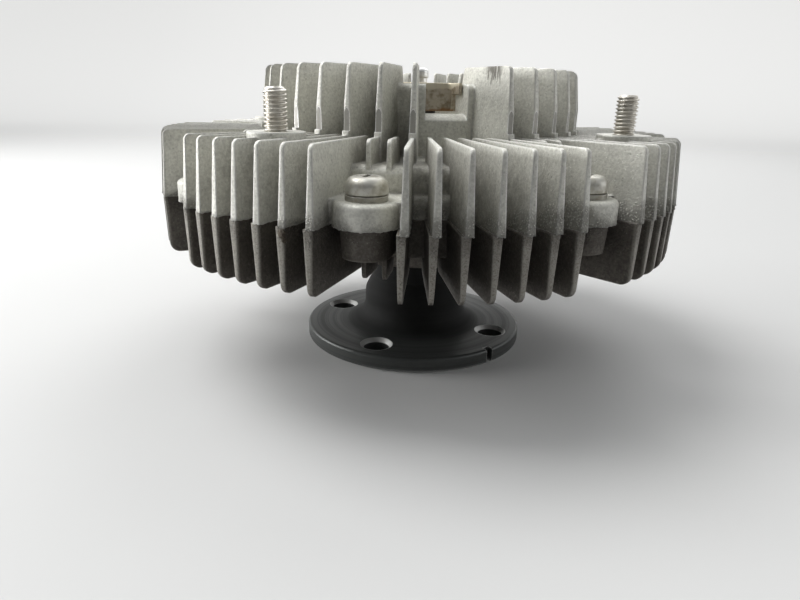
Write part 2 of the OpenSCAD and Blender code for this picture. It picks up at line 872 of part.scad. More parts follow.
// Rubber ring between the two castings
module cover_seal_ring() {
    in_r = seal_mid_r - seal_w / 2;
    out_r = seal_mid_r + seal_w / 2;
    low_z = parting_z - seal_h;
    color([0.1, 0.1, 0.1])
    rotate_extrude()
        polygon([[in_r + seal_chamfer, low_z], [out_r - seal_chamfer, low_z],
                 [out_r, low_z + seal_chamfer], [out_r, parting_z - seal_chamfer],
                 [out_r - seal_chamfer, parting_z], [in_r + seal_chamfer, parting_z],
                 [in_r, parting_z - seal_chamfer], [in_r, low_z + seal_chamfer]]);
}

// Plate between the working chamber and the reservoir, with the valve port and a return hole
module separator_plate() {
    color([0.6, 0.6, 0.6])
    difference() {
        translate([0, 0, ceiling_z])
            cylinder(r = plate_r, h = plate_t);
        rotate([0, 0, housing_turn + arm_turn])
            translate([arm_reach, 0, ceiling_z - over])
                cylinder(r = port_r, h = plate_t + 2 * over);
        rotate([0, 0, housing_turn + wiper_turn])
            translate([return_ring_r, 0, ceiling_z - over])
                cylinder(r = return_r, h = plate_t + 2 * over);
        for (k = [0 : plate_screw_count - 1])
            rotate([0, 0, k * 360 / plate_screw_count])
                translate([plate_screw_ring_r, 0, ceiling_z - over])
                    cylinder(r = plate_screw_r, h = plate_t + 2 * over);
    }
}

// Small screws that hold the plate
module plate_screws() {
    color([0.7, 0.7, 0.72])
    for (k = [0 : plate_screw_count - 1])
        rotate([0, 0, k * 360 / plate_screw_count])
            translate([plate_screw_ring_r, 0, ceiling_z]) {
                translate([0, 0, -plate_head_h])
                    cylinder(r = plate_head_r, h = plate_head_h);
                translate([0, 0, -sink])
                    cylinder(r = plate_screw_r, h = sink + plate_t + plate_screw_depth);
            }
}

// Block beside the rotor rim
module pump_wiper() {
    color([0.75, 0.62, 0.35])
    rotate([0, 0, housing_turn + wiper_turn - wiper_deg / 2])
        rotate_extrude(angle = wiper_deg)
            translate([wiper_in_r, ceiling_z - wiper_h])
                square([chamber_r - wiper_in_r, wiper_h]);
}

// Leaf on the valve shaft that covers the port
module valve_arm() {
    color([0.68, 0.66, 0.6])
    translate([0, 0, arm_z])
        difference() {
            union() {
                cylinder(r = arm_hub_r, h = arm_t);
                rotate([0, 0, housing_turn + arm_turn]) {
                    translate([0, -arm_w / 2, 0])
                        cube([arm_reach, arm_w, arm_t]);
                    translate([arm_reach, 0, 0])
                        cylinder(r = arm_w / 2, h = arm_t);
                }
            }
            translate([0, 0, -over])
                cylinder(r = valve_r, h = arm_t + 2 * over);
        }
}

// Shaft from the valve arm through the front cover to the coil
module valve_shaft() {
    top = [valve_head_r, head_z + valve_head_h];
    color([0.75, 0.75, 0.74])
    difference() {
        rotate_extrude()
            difference() {
                union() {
                    translate([0, arm_z])
                        square([valve_r, clip_z - arm_z]);
                    translate([0, arm_z])
                        square([valve_r - clip_groove, stem_z - arm_z]);
                    translate([0, clip_z + clip_t])
                        square([valve_r, stem_z - clip_z - clip_t]);
                    translate([0, arm_z])
                        square([stem_r, head_z - arm_z + over]);
                    translate([0, head_z])
                        square([valve_head_r, valve_head_h]);
                }
                corner_cut(top, [0, top[1]], [valve_head_r, head_z], valve_head_round_r);
            }
        rotate([0, 0, housing_turn + coil_end_turn])
            translate([-stem_r - over, -coil_t / 2 - slot_gap, coil_bottom_z - slot_gap])
                cube([2 * (stem_r + over), coil_t + 2 * slot_gap, coil_w + 2 * slot_gap]);
    }
}

// Ring that seals the valve shaft in the front cover
module valve_shaft_seal() {
    color([0.1, 0.1, 0.1])
    ring(valve_bore_r, valve_bore_r + valve_seal_t, valve_seal_z, valve_seal_z + valve_seal_h);
}

// Open clip in the groove of the valve shaft
module valve_shaft_clip() {
    color([0.3, 0.3, 0.31])
    rotate([0, 0, housing_turn])
        translate([0, 0, clip_z])
            rotate_extrude(angle = 360 - clip_gap_deg)
                translate([valve_r - clip_groove, 0])
                    square([clip_r - valve_r + clip_groove, clip_t]);
}

// Bimetal strip wound in half turns, inner tang in the shaft, outer tab at the window
module bimetal_coil() {
    last_r = coil_in_r + (2 * coil_turns - 1) * coil_pitch / 2;
    end_r = last_r + coil_pitch / 2;
    color([0.66, 0.55, 0.32])
    rotate([0, 0, housing_turn + coil_end_turn])
        translate([0, 0, coil_bottom_z]) {
            translate([-tang_len, -coil_t / 2, 0])
                cube([tang_len + coil_in_r + coil_t / 2, coil_t, coil_w]);
            for (k = [0 : 2 * coil_turns - 1])
                translate([k % 2 == 0 ? 0 : coil_pitch / 2, 0, 0])
                    rotate([0, 0, k % 2 == 0 ? 0 : 180])
                        rotate_extrude(angle = 180)
                            translate([coil_in_r + k * coil_pitch / 2 - coil_t / 2, 0])
                                square([coil_t, coil_w]);
            translate([end_r - coil_t / 2, -coil_t / 2, coil_w - coil_tab_h])
                cube([coil_tab_r - end_r + coil_t / 2, coil_t, coil_tab_h]);
        }
}

// One pan head screw with a cross recess, seated on z = 0
module cover_screw() {
    top = [head_r, head_h];
    difference() {
        rotate_extrude()
            difference() {
                polygon([[0, 0], [head_r - head_chamfer, 0], [head_r, head_chamfer], top, [0, head_h]]);
                corner_cut(top, [0, head_h], [head_r, 0], head_round_r);
            }
        for (a = [0, 90])
            rotate([0, 0, a])
                translate([-recess_len / 2, -recess_w / 2, head_h - recess_depth])
                    cube([recess_len, recess_w, recess_depth + over]);
    }
    translate([0, 0, screw_end_z - ledge_z - washer_t])
        cylinder(r = screw_r, h = ledge_z + washer_t - screw_end_z + sink);
}

// Screws that clamp the two castings
module cover_screws() {
    color([0.7, 0.69, 0.66])
    at_lugs()
        translate([0, 0, ledge_z + washer_t])
            cover_screw();
}

// Split washers under the screw heads
module spring_washers() {
    color([0.66, 0.65, 0.62])
    at_lugs()
        translate([0, 0, ledge_z])
            rotate([0, 0, washer_turn])
                rotate_extrude(angle = 360 - washer_slit_deg)
                    translate([washer_in_r, 0])
                        square([head_r - washer_in_r, washer_t]);
}

// Studs that hold the fan
module fan_studs() {
    color([0.76, 0.76, 0.76])
    at_studs() {
        translate([0, 0, pad_z - stud_depth])
            cylinder(r = stud_core_r, h = stud_depth + sink);
        translate([0, 0, pad_z])
            cylinder(r = stud_r, h = stud_len - stud_chamfer);
        translate([0, 0, pad_z + stud_len - stud_chamfer])
            cylinder(r1 = stud_r, r2 = stud_r - stud_chamfer, h = stud_chamfer);
    }
}

drive_shaft();
bearing_inner_race();
bearing_outer_race();
bearing_balls();
bearing_cage();
bearing_shields();
bearing_circlip();
rotor();
rotor_nut();
rear_body();
front_cover();
cover_seal_ring();
separator_plate();
plate_screws();
pump_wiper();
valve_arm();
valve_shaft();
valve_shaft_seal();
valve_shaft_clip();
bimetal_coil();
cover_screws();
spring_washers();
fan_studs();
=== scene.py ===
"""Dresses a packed viscous fan clutch.

The CAD nodes get procedural finishes. New pieces are the threaded fan studs, the wound bimetal strip, the thin casting
flash along the parting plane and the dirt that sticks to the fins.
"""

import json
import logging
import math
from dataclasses import dataclass
from enum import Enum
from functools import cached_property

import bmesh
import bpy
import numpy as np
from mathutils import Matrix, Vector

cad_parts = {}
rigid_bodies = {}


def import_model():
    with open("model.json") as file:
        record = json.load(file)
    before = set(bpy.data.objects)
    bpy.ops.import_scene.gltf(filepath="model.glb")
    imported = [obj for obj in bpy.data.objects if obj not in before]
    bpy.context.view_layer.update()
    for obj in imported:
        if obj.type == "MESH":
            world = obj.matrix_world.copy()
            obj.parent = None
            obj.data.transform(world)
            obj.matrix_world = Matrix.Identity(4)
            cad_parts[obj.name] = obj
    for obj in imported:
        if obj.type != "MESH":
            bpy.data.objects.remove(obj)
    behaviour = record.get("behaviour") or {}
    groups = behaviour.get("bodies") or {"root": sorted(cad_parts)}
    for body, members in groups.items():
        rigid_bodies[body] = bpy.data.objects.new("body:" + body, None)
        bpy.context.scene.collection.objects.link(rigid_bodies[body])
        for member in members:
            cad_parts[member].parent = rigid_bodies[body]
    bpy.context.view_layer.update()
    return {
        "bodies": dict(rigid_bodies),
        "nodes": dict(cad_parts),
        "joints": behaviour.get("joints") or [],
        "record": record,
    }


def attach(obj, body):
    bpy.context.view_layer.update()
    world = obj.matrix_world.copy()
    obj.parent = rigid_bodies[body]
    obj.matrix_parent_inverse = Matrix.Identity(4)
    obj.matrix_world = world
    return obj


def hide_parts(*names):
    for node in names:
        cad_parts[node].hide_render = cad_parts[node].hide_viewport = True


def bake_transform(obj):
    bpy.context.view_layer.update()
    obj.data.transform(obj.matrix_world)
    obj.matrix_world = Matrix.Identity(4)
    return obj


LOG = logging.getLogger("fan_clutch")
MM = 0.001
# Clocking of the fins about the axis and the spacing of fins and lugs, in degrees
HOUSING_TURN = -91.73
FIN_PITCH = 5.0
SECTOR = 45.0
PARTING_Z = 54.5 * MM
# Added to an angle so that its remainder is never negative
WHOLE_TURNS = 720.0

Colour = tuple[float, float, float]
Material = bpy.types.Material
Node = bpy.types.Node
Socket = bpy.types.NodeSocket
Tree = bpy.types.NodeTree
Plug = Socket | float | tuple


class Body(Enum):
    """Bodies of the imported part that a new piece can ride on."""

    HOUSING = "housing"
    VALVE = "valve"


class Slot(Enum):
    """Names of material slots of the record."""

    FRONT_CASTING = "front_casting"
    REAR_CASTING = "rear_casting"
    STUD = "stud_zinc"
    BIMETAL = "bimetal"


def rgba(colour: Colour) -> tuple[float, float, float, float]:
    """Returns the colour with full alpha."""
    return (*colour, 1.0)


@dataclass
class Surface:
    """Vertices in metres and faces as tuples of vertex numbers."""

    verts: np.ndarray
    faces: list[tuple[int, ...]]

    @staticmethod
    def joined(parts: list["Surface"]) -> "Surface":
        """Puts several surfaces into one.

        Args:
            parts: surfaces to put together, in order.

        Returns:
            One surface whose faces point into the stacked vertices.
        """
        starts = np.cumsum([0] + [len(p.verts) for p in parts])
        faces = [tuple(int(i + s) for i in f) for p, s in zip(parts, starts) for f in p.faces]
        return Surface(np.vstack([p.verts for p in parts]), faces)


def skin(sections: np.ndarray) -> Surface:
    """Closed skin over a row of rings: quads between each ring and the next, and one cap on each end ring.

    Args:
        sections: points of shape (rings, points per ring, 3).

    Returns:
        The closed surface.
    """
    rings, around = sections.shape[:2]
    low = np.arange((rings - 1) * around).reshape(rings - 1, around)
    right = np.roll(low, -1, axis=1)
    quads = np.stack([low, right, right + around, low + around], axis=-1).reshape(-1, 4)
    first = tuple(range(around - 1, -1, -1))
    last = tuple(range((rings - 1) * around, rings * around))
    return Surface(sections.reshape(-1, 3), [tuple(q) for q in quads.tolist()] + [first, last])


def turned(points: np.ndarray, degrees: float) -> np.ndarray:
    """Points turned about the Z axis: x' = x cos a - y sin a, y' = x sin a + y cos a.

    Args:
        points: array whose last axis is (x, y, z).
        degrees: angle of the turn.

    Returns:
        The turned points.
    """
    a = math.radians(degrees)
    spin = np.array([[math.cos(a), -math.sin(a), 0], [math.sin(a), math.cos(a), 0], [0, 0, 1]])
    return points @ spin.T


def place(name: str, surface: Surface, material: Material, sharp_deg: float) -> bpy.types.Object:
    """Makes an object at the origin from a surface, with outward faces and smooth shading.

    Args:
        name: name of the object.
        surface: its vertices and faces.
        material: its finish.
        sharp_deg: edges with a larger angle stay sharp.

    Returns:
        The new object, linked to the scene.
    """
    mesh = bpy.data.meshes.new(name)
    mesh.from_pydata(surface.verts.tolist(), [], surface.faces)
    work = bmesh.new()
    work.from_mesh(mesh)
    bmesh.ops.recalc_face_normals(work, faces=work.faces)
    work.to_mesh(mesh)
    work.free()
    mesh.shade_smooth()
    mesh.set_sharp_from_angle(angle=math.radians(sharp_deg))
    mesh.materials.append(material)
    piece = bpy.data.objects.new(name, mesh)
    bpy.context.scene.collection.objects.link(piece)
    LOG.info("piece %s: %d faces", name, len(mesh.polygons))
    return piece


class Wiring:
    """Adds nodes to one node tree and plugs sockets or plain values into them."""

    def __init__(self, tree: Tree) -> None:
        """Keeps the tree that the nodes go into."""
        self.tree = tree

    def add(self, kind: str, inputs: dict[str | int, Plug] | None = None, **settings: object) -> Node:
        """Adds one node.

        Args:
            kind: Blender's name of the node type.
            inputs: sockets or values by input name or number.
            settings: properties to set on the node.

        Returns:
            The new node.
        """
        node = self.tree.nodes.new(kind)
        for name, value in settings.items():
            setattr(node, name, value)
        self.fill(node, inputs or {})
        return node

    def fill(self, node: Node, inputs: dict[str | int, Plug]) -> None:
        """Links sockets to a node's inputs, or sets the inputs' own values.

        Args:
            node: the node.
            inputs: sockets or values by input name or number.
        """
        for key, value in inputs.items():
            if isinstance(value, Socket):
                self.tree.links.new(value, node.inputs[key])
            else:
                node.inputs[key].default_value = value

    def math(self, operation: str, a: Plug, b: Plug = 0.0) -> Socket:
        """Returns the result of one Math node."""
        return self.add("ShaderNodeMath", {0: a, 1: b}, operation=operation).outputs[0]

    def plus(self, a: Plug, b: Plug) -> Socket:
        """Returns a + b."""
        return self.math("ADD", a, b)

    def minus(self, a: Plug, b: Plug) -> Socket:
        """Returns a - b."""
        return self.math("SUBTRACT", a, b)

    def times(self, a: Plug, b: Plug) -> Socket:
        """Returns a times b."""
        return self.math("MULTIPLY", a, b)

    def most(self, a: Plug, b: Plug) -> Socket:
        """Returns the larger of a and b."""
        return self.math("MAXIMUM", a, b)

    def distance(self, x: Plug, y: Plug) -> Socket:
        """Returns the length of (x, y)."""
        return self.math("SQRT", self.plus(self.times(x, x), self.times(y, y)))

    def folded(self, angle: Plug, first: float, step: float) -> Socket:
        """Angle from the nearest of evenly spaced spokes.

        Args:
            angle: angle in degrees.
            first: angle of one spoke.
            step: angle between spokes.

        Returns:
            Degrees from -step / 2 to step / 2.
        """
        shifted = self.plus(angle, WHOLE_TURNS - first + step / 2)
        return self.minus(self.math("MODULO", shifted, step), step / 2)

    def ease(self, value: Plug, low: float, high: float, start: float = 0.0, end: float = 1.0) -> Socket:
        """Smooth step of a value from low to high, onto start to end.

        Args:
            value: what is mapped.
            low: where the step starts.
            high: where the step ends.
            start: result at low.
            end: result at high.

        Returns:
            The mapped value.
        """
        inputs = {"Value": value, "From Min": low, "From Max": high, "To Min": start, "To Max": end}
        return self.add("ShaderNodeMapRange", inputs, interpolation_type="SMOOTHSTEP").outputs["Result"]

    def noise(self, vector: Plug, scale: Plug, detail: float = 3.0, rough: float = 0.55) -> Socket:
        """Returns the value of a noise of the given scale, in waves per metre."""
        inputs = {"Vector": vector, "Scale": scale, "Detail": detail, "Roughness": rough}
        return self.add("ShaderNodeTexNoise", inputs).outputs["Fac"]

    def cells(self, vector: Plug, scale: Plug) -> Socket:
        """Returns the distance to the nearest point of a Voronoi pattern."""
        return self.add("ShaderNodeTexVoronoi", {"Vector": vector, "Scale": scale}).outputs["Distance"]

    def tint(self, factor: Plug, a: Plug, b: Plug) -> Socket:
        """Returns the mix of two colours by a factor."""
        return self.add("ShaderNodeMix", {0: factor, 6: a, 7: b}, data_type="RGBA").outputs[2]

    def here(self) -> Socket:
        """Returns the Object coordinates."""
        return self.add("ShaderNodeTexCoord").outputs["Object"]

    def polar(self) -> tuple[Socket, Socket, Socket]:
        """Cylinder coordinates about the clutch's axis.

        Returns:
            Radius, angle in degrees and height.
        """
        axes = self.add("ShaderNodeSeparateXYZ", {0: self.here()}).outputs
        angle = self.math("DEGREES", self.math("ARCTAN2", axes["Y"], axes["X"]))
        return self.distance(axes["X"], axes["Y"]), angle, axes["Z"]


class SharedEffects:
    """Shader node groups that several finishes use, each built once.

    The waves are how many a noise has per metre.
    """

    SAMPLES = 6
    PATCH_WAVES = 260.0
    SPECK_WAVES = 700.0
    CLOUD_WAVES = 55.0
    CORNER_WAVES = 420.0
    BAND_WAVES = 60.0
    STAIN_WAVES = 330.0

    @staticmethod
    def group(name: str, inputs: dict[str, float], outputs: dict[str, str]) -> tuple[Wiring, Node, Node]:
        """Starts a node group with named sockets.

        Args:
            name: name of the group.
            inputs: float inputs and their defaults.
            outputs: socket types by output name.

        Returns:
            The wiring of the group, its input node and its output node.
        """
        tree = bpy.data.node_groups.new(name, "ShaderNodeTree")
        for key, value in inputs.items():
            tree.interface.new_socket(key, in_out="INPUT", socket_type="NodeSocketFloat").default_value = value
        for key, kind in outputs.items():
            tree.interface.new_socket(key, in_out="OUTPUT", socket_type=kind)
        return Wiring(tree), tree.nodes.new("NodeGroupInput"), tree.nodes.new("NodeGroupOutput")

    @cached_property
    def edges(self) -> Tree:
        """Rounded edges: the bevelled normal, and a mask of where it turns away from the true normal.

        Returns:
            The node group.
        """
        outputs = {"Normal": "NodeSocketVector", "Edge": "NodeSocketFloat"}
        wire, given, put = self.group("rounded_edges", {"Radius": 0.5 * MM}, outputs)
        bevel = wire.add("ShaderNodeBevel", {"Radius": given.outputs["Radius"]}, samples=self.SAMPLES).outputs[0]
        true = wire.add("ShaderNodeNewGeometry").outputs["Normal"]
        facing = wire.add("ShaderNodeVectorMath", {0: bevel, 1: true}, operation="DOT_PRODUCT").outputs["Value"]
        wire.fill(put, {"Normal": bevel, "Edge": wire.ease(facing, 0.99, 0.8)})
        return wire.tree

    @cached_property
    def cast_skin(self) -> Tree:
        """Gritty cast surface: orange-peel height, pits, bright specks and cloudy tone.

        Returns:
            The node group.
        """
        outputs = dict.fromkeys(("Height", "Pits", "Specks", "Tone"), "NodeSocketFloat")
        wire, given, put = self.group("cast_skin", {"Scale": 1400.0, "Pit Share": 0.5}, outputs)
        here, scale = wire.here(), given.outputs["Scale"]
        peel = wire.noise(here, scale, 4.0, 0.6)
        cells = wire.cells(here, wire.times(scale, 0.62))
        patch = wire.ease(wire.noise(here, self.PATCH_WAVES, 2.0), 0.34, 0.6)
        pits = wire.times(wire.ease(cells, 0.3, 0.12), wire.times(patch, given.outputs["Pit Share"]))
        grains = wire.cells(here, wire.times(scale, 1.3))
        spread = wire.ease(wire.noise(here, self.SPECK_WAVES, 2.0), 0.5, 0.64)
        specks = wire.times(wire.ease(grains, 0.26, 0.1), spread)
        cloud = wire.noise(here, self.CLOUD_WAVES, 4.0, 0.6)
        mottle = wire.noise(here, wire.times(scale, 0.3), 3.0)
        lift = wire.minus(wire.plus(peel, specks), pits)
        broad = wire.plus(wire.times(cloud, 0.32), wire.times(mottle, 0.2))
        tone = wire.plus(broad, wire.times(peel, 0.48))
        wire.fill(put, {"Height": lift, "Pits": pits, "Specks": specks, "Tone": wire.ease(tone, 0.36, 0.64)})
        return wire.tree

    @cached_property
    def corner_darkening(self) -> Tree:
        """Darkening in corners: closeness of other walls plus a ragged noise, past a threshold.

        Returns:
            The node group.
        """
        wire, given, put = self.group("corner_darkening", {"Reach": 6 * MM, "Amount": 0.5}, {"Mask": "NodeSocketFloat"})
        reach = {"Distance": given.outputs["Reach"]}
        open_sky = wire.add("ShaderNodeAmbientOcclusion", reach, samples=self.SAMPLES, only_local=True)
        corner = wire.minus(1.0, open_sky.outputs["AO"])
        ragged = wire.noise(wire.here(), self.CORNER_WAVES, 5.0, 0.65)
        sum_up = wire.plus(wire.times(corner, 0.75), wire.minus(ragged, 0.5))
        wire.fill(put, {"Mask": wire.times(wire.ease(sum_up, 0.22, 0.72), given.outputs["Amount"])})
        return wire.tree

    @cached_property
    def grit_band(self) -> Tree:
        """Coarse grains near the parting plane: rounded cells, in patches that fade away from the plane.

        Returns:
            The node group.
        """
        outputs = dict.fromkeys(("Mask", "Grain"), "NodeSocketFloat")
        wire, given, put = self.group("grit_band", {"Reach": 7 * MM, "Scale": 1500.0}, outputs)
        here = wire.here()
        axes = wire.add("ShaderNodeSeparateXYZ", {0: here}).outputs
        away = wire.math("ABSOLUTE", wire.minus(axes["Z"], PARTING_Z))
        near = wire.minus(1.0, wire.math("DIVIDE", away, given.outputs["Reach"]))
        patch = wire.ease(wire.noise(here, self.BAND_WAVES, 3.0), 0.3, 0.7, -0.45, 0.35)
        side = wire.ease(axes["X"], -30 * MM, 40 * MM, -0.3, 0.12)
        amount = wire.plus(near, wire.plus(patch, side))
        coarse = wire.cells(here, given.outputs["Scale"])
        fine = wire.cells(here, wire.times(given.outputs["Scale"], 2.1))
        hollow = wire.plus(wire.times(coarse, 0.65), wire.times(fine, 0.35))
        wire.fill(put, {"Grain": wire.ease(hollow, 0.5, 0.14), "Mask": wire.ease(amount, 0.3, 0.85)})
        return wire.tree

    @cached_property
    def turning(self) -> Tree:
        """Lathe marks: one noise along radius plus height, so that every turned face shows rings.

        Returns:
            The node group.
        """
        outputs = dict.fromkeys(("Height", "Tone"), "NodeSocketFloat")
        wire, given, put = self.group("turning_marks", {"Lines": 4000.0}, outputs)
        radius, _, height = wire.polar()
        along = wire.times(wire.plus(radius, height), given.outputs["Lines"])
        fine, wide = (
            wire.add("ShaderNodeTexNoise", {"W": along, "Scale": s, "Detail": d}, noise_dimensions="1D").outputs["Fac"]
            for s, d in ((1.0, 2.0), (0.09, 3.0))
        )
        tone = wire.plus(wire.times(fine, 0.4), wire.times(wide, 0.6))
        wire.fill(put, {"Height": fine, "Tone": wire.ease(tone, 0.35, 0.65)})
        return wire.tree

    @cached_property
    def plating(self) -> Tree:
        """Dull plating: cloudy stains and fine grain.

        Returns:
            The node group.
        """
        outputs = dict.fromkeys(("Height", "Stain"), "NodeSocketFloat")
        wire, given, put = self.group("plating", {"Scale": 2400.0}, outputs)
        here = wire.here()
        grain = wire.noise(here, given.outputs["Scale"], 3.0)
        stain = wire.noise(here, self.STAIN_WAVES, 5.0, 0.65)
        wire.fill(put, {"Height": grain, "Stain": wire.ease(stain, 0.42, 0.68)})
        return wire.tree


EFFECTS = SharedEffects()


@dataclass(frozen=True)
class Finish:
    """What every finish has: its name, and its shader's plain values."""

    name: str
    base: Colour
    metallic: float = 0.8
    roughness: float = 0.5

    def start(self) -> tuple[Material, Wiring, Node]:
        """Starts the material.

        Returns:
            The material, its wiring and its Principled shader with the plain values set.
        """
        material = bpy.data.materials.new(self.name)
        material.use_nodes = True
        wire = Wiring(material.node_tree)
        shader = material.node_tree.nodes["Principled BSDF"]
        values = {"Base Color": rgba(self.base), "Metallic": self.metallic, "Roughness": self.roughness}
        wire.fill(shader, values)
        material.diffuse_color = rgba(self.base)
        return material, wire, shader

    def material(self) -> Material:
        """Returns the finish's material; each kind of finish has its own."""
        raise NotImplementedError

    def effect(self, wire: Wiring, tree: Tree, **inputs: float) -> bpy.types.NodeOutputs:
        """Places a shared effect.

        Args:
            wire: wiring of the material.
            tree: the effect's node group.
            inputs: values of the group's inputs, with _ for a blank.

        Returns:
            The outputs of the placed group.
        """
        named = {key.replace("_", " "): value for key, value in inputs.items()}
        return wire.add("ShaderNodeGroup", named, node_tree=tree).outputs

    def bump(
        self, wire: Wiring, shader: Node, height: Plug, depth: float, normal: Plug | None, strength: float = 0.6
    ) -> None:
        """Puts a bump on the shader.

        Args:
            wire: wiring of the material.
            shader: the Principled shader.
            height: relief from 0 to 1.
            depth: how deep the relief is, in metres.
            normal: normal that the relief stands on.
            strength: share of the relief that shows.
        """
        node = wire.add("ShaderNodeBump", {"Height": height, "Distance": depth, "Strength": strength})
        if normal is not None:
            wire.fill(node, {"Normal": normal})
        wire.fill(shader, {"Normal": node.outputs["Normal"]})


@dataclass(frozen=True)
class CastFinish(Finish):
    """As-cast aluminium with pits, specks, edges painted lighter as wear and highlight, and darker corners."""

    light: Colour = (0.5, 0.49, 0.46)
    pit: Colour = (0.12, 0.11, 0.1)
    edge: Colour = (0.72, 0.71, 0.68)
    # Dark colour for dirt streaks, darker corners and the painted shade in the grit gaps.
    dirt: Colour = (0.075, 0.066, 0.055)
    seat_colour: Colour = (0.3, 0.29, 0.265)
    grain: float = 1400.0
    pit_share: float = 0.5
    corner_share: float = 0.6
    corner_reach: float = 8 * MM
    dirt_rough: float = 0.3
    dirt_metal: float = 0.05
    edge_share: float = 0.8
    edge_polish: float = 0.12
    edge_r: float = 0.8 * MM
    relief: float = 0.2 * MM
    grit_reach: float = 7 * MM
    grit_share: float = 0.55
    grit_relief: float = 6.5
    speck_share: float = 0.5
    seat_share: float = 0.8
    seat_polish: float = 0.14
    seat_flat: float = 0.85
    # Radius past which fin noses are painted lighter as a highlight, with its fade and noise scale.
    nose_r: float = 0.0
    nose_fade: float = 0.8 * MM
    nose_waves: float = 2400.0

    def material(self) -> Material:
        """Cast skin, then fin noses painted lighter as a highlight, grit with painted highlight and painted shade,
        dirt and darker corners, and machined places over it.

        Returns:
            The material.
        """
        material, wire, shader = self.start()
        edges = self.effect(wire, EFFECTS.edges, Radius=self.edge_r)
        cast = self.effect(wire, EFFECTS.cast_skin, Scale=self.grain, Pit_Share=self.pit_share)
        corner_darkening = self.effect(wire, EFFECTS.corner_darkening, Reach=self.corner_reach, Amount=self.corner_share)
        # Edge mask: edges painted lighter, partly wear and partly a painted highlight.
        worn = wire.times(edges["Edge"], self.edge_share)
        colour = wire.tint(cast["Tone"], rgba(self.base), rgba(self.light))
        colour = wire.tint(wire.times(cast["Specks"], self.speck_share), colour, rgba(self.edge))
        colour = wire.tint(cast["Pits"], colour, rgba(self.pit))
        colour = wire.tint(worn, colour, rgba(self.edge))
        # Fin noses painted lighter towards the edge colour: a painted highlight.
        if self.nose_r:
            radius, _, _ = wire.polar()
            bare = wire.ease(wire.noise(wire.here(), self.nose_waves, 4.0, 0.65), 0.34, 0.58, 0.35, 1.0)
            bare = wire.times(bare, wire.ease(radius, self.nose_r - self.nose_fade, self.nose_r, 0.0, 0.85))
            colour = wire.tint(bare, colour, rgba(self.edge))
        grit = self.effect(wire, EFFECTS.grit_band, Reach=self.grit_reach)
        # Grain tops painted lighter as a highlight and the gaps between grains painted darker as shade; the grains
        # also give real relief.
        grain_tops = wire.times(grit["Mask"], grit["Grain"])
        grain_shade_gaps = wire.minus(grit["Mask"], grain_tops)
        colour = wire.tint(wire.times(grain_tops, self.grit_share), colour, rgba(self.light))
        # Dirt and shade mask: darker corners plus the painted shade in the grit gaps.
        dirt_shade_mask = wire.most(corner_darkening["Mask"], wire.times(grain_shade_gaps, self.grit_share))
        dirt_shade_mask = self.smudged(wire, dirt_shade_mask)
        colour = wire.tint(dirt_shade_mask, colour, rgba(self.dirt))
        machined = self.seat_mask(wire)
        rough = wire.ease(cast["Tone"], 0.0, 1.0, self.roughness + 0.08, self.roughness - 0.06)
        rough = wire.minus(rough, wire.times(worn, self.edge_polish))
        height = wire.plus(cast["Height"], wire.times(grain_tops, self.grit_relief))
        normal = edges["Normal"]
        if machined is not None:
            seat, burr = machined
            flat = wire.add("ShaderNodeNewGeometry").outputs["Normal"]
            normal = wire.add("ShaderNodeMix", {0: seat, 4: normal, 5: flat}, data_type="VECTOR").outputs[1]
            colour = wire.tint(wire.times(seat, self.seat_share), colour, rgba(self.seat_colour))
            colour = wire.tint(burr, colour, rgba(self.edge))
            rough = wire.minus(rough, wire.times(seat, self.seat_polish))
            height = wire.times(height, wire.minus(1.0, wire.times(seat, self.seat_flat)))
        rough = wire.plus(rough, wire.times(dirt_shade_mask, self.dirt_rough))
        metal = wire.ease(dirt_shade_mask, 0.0, 1.0, self.metallic, self.dirt_metal)
        wire.fill(shader, {"Base Color": colour, "Roughness": rough, "Metallic": metal})
        self.bump(wire, shader, height, self.relief, normal)
        return material

    def smudged(self, wire: Wiring, dirt_shade_mask: Socket) -> Socket:
        """Returns the mask of dirt and painted shade with this casting's own smudges, here none."""
        return dirt_shade_mask

    def seat_mask(self, wire: Wiring) -> tuple[Socket, Socket] | None:
        """Returns the masks of machined places and of their burrs, or None where there are none."""
        return None


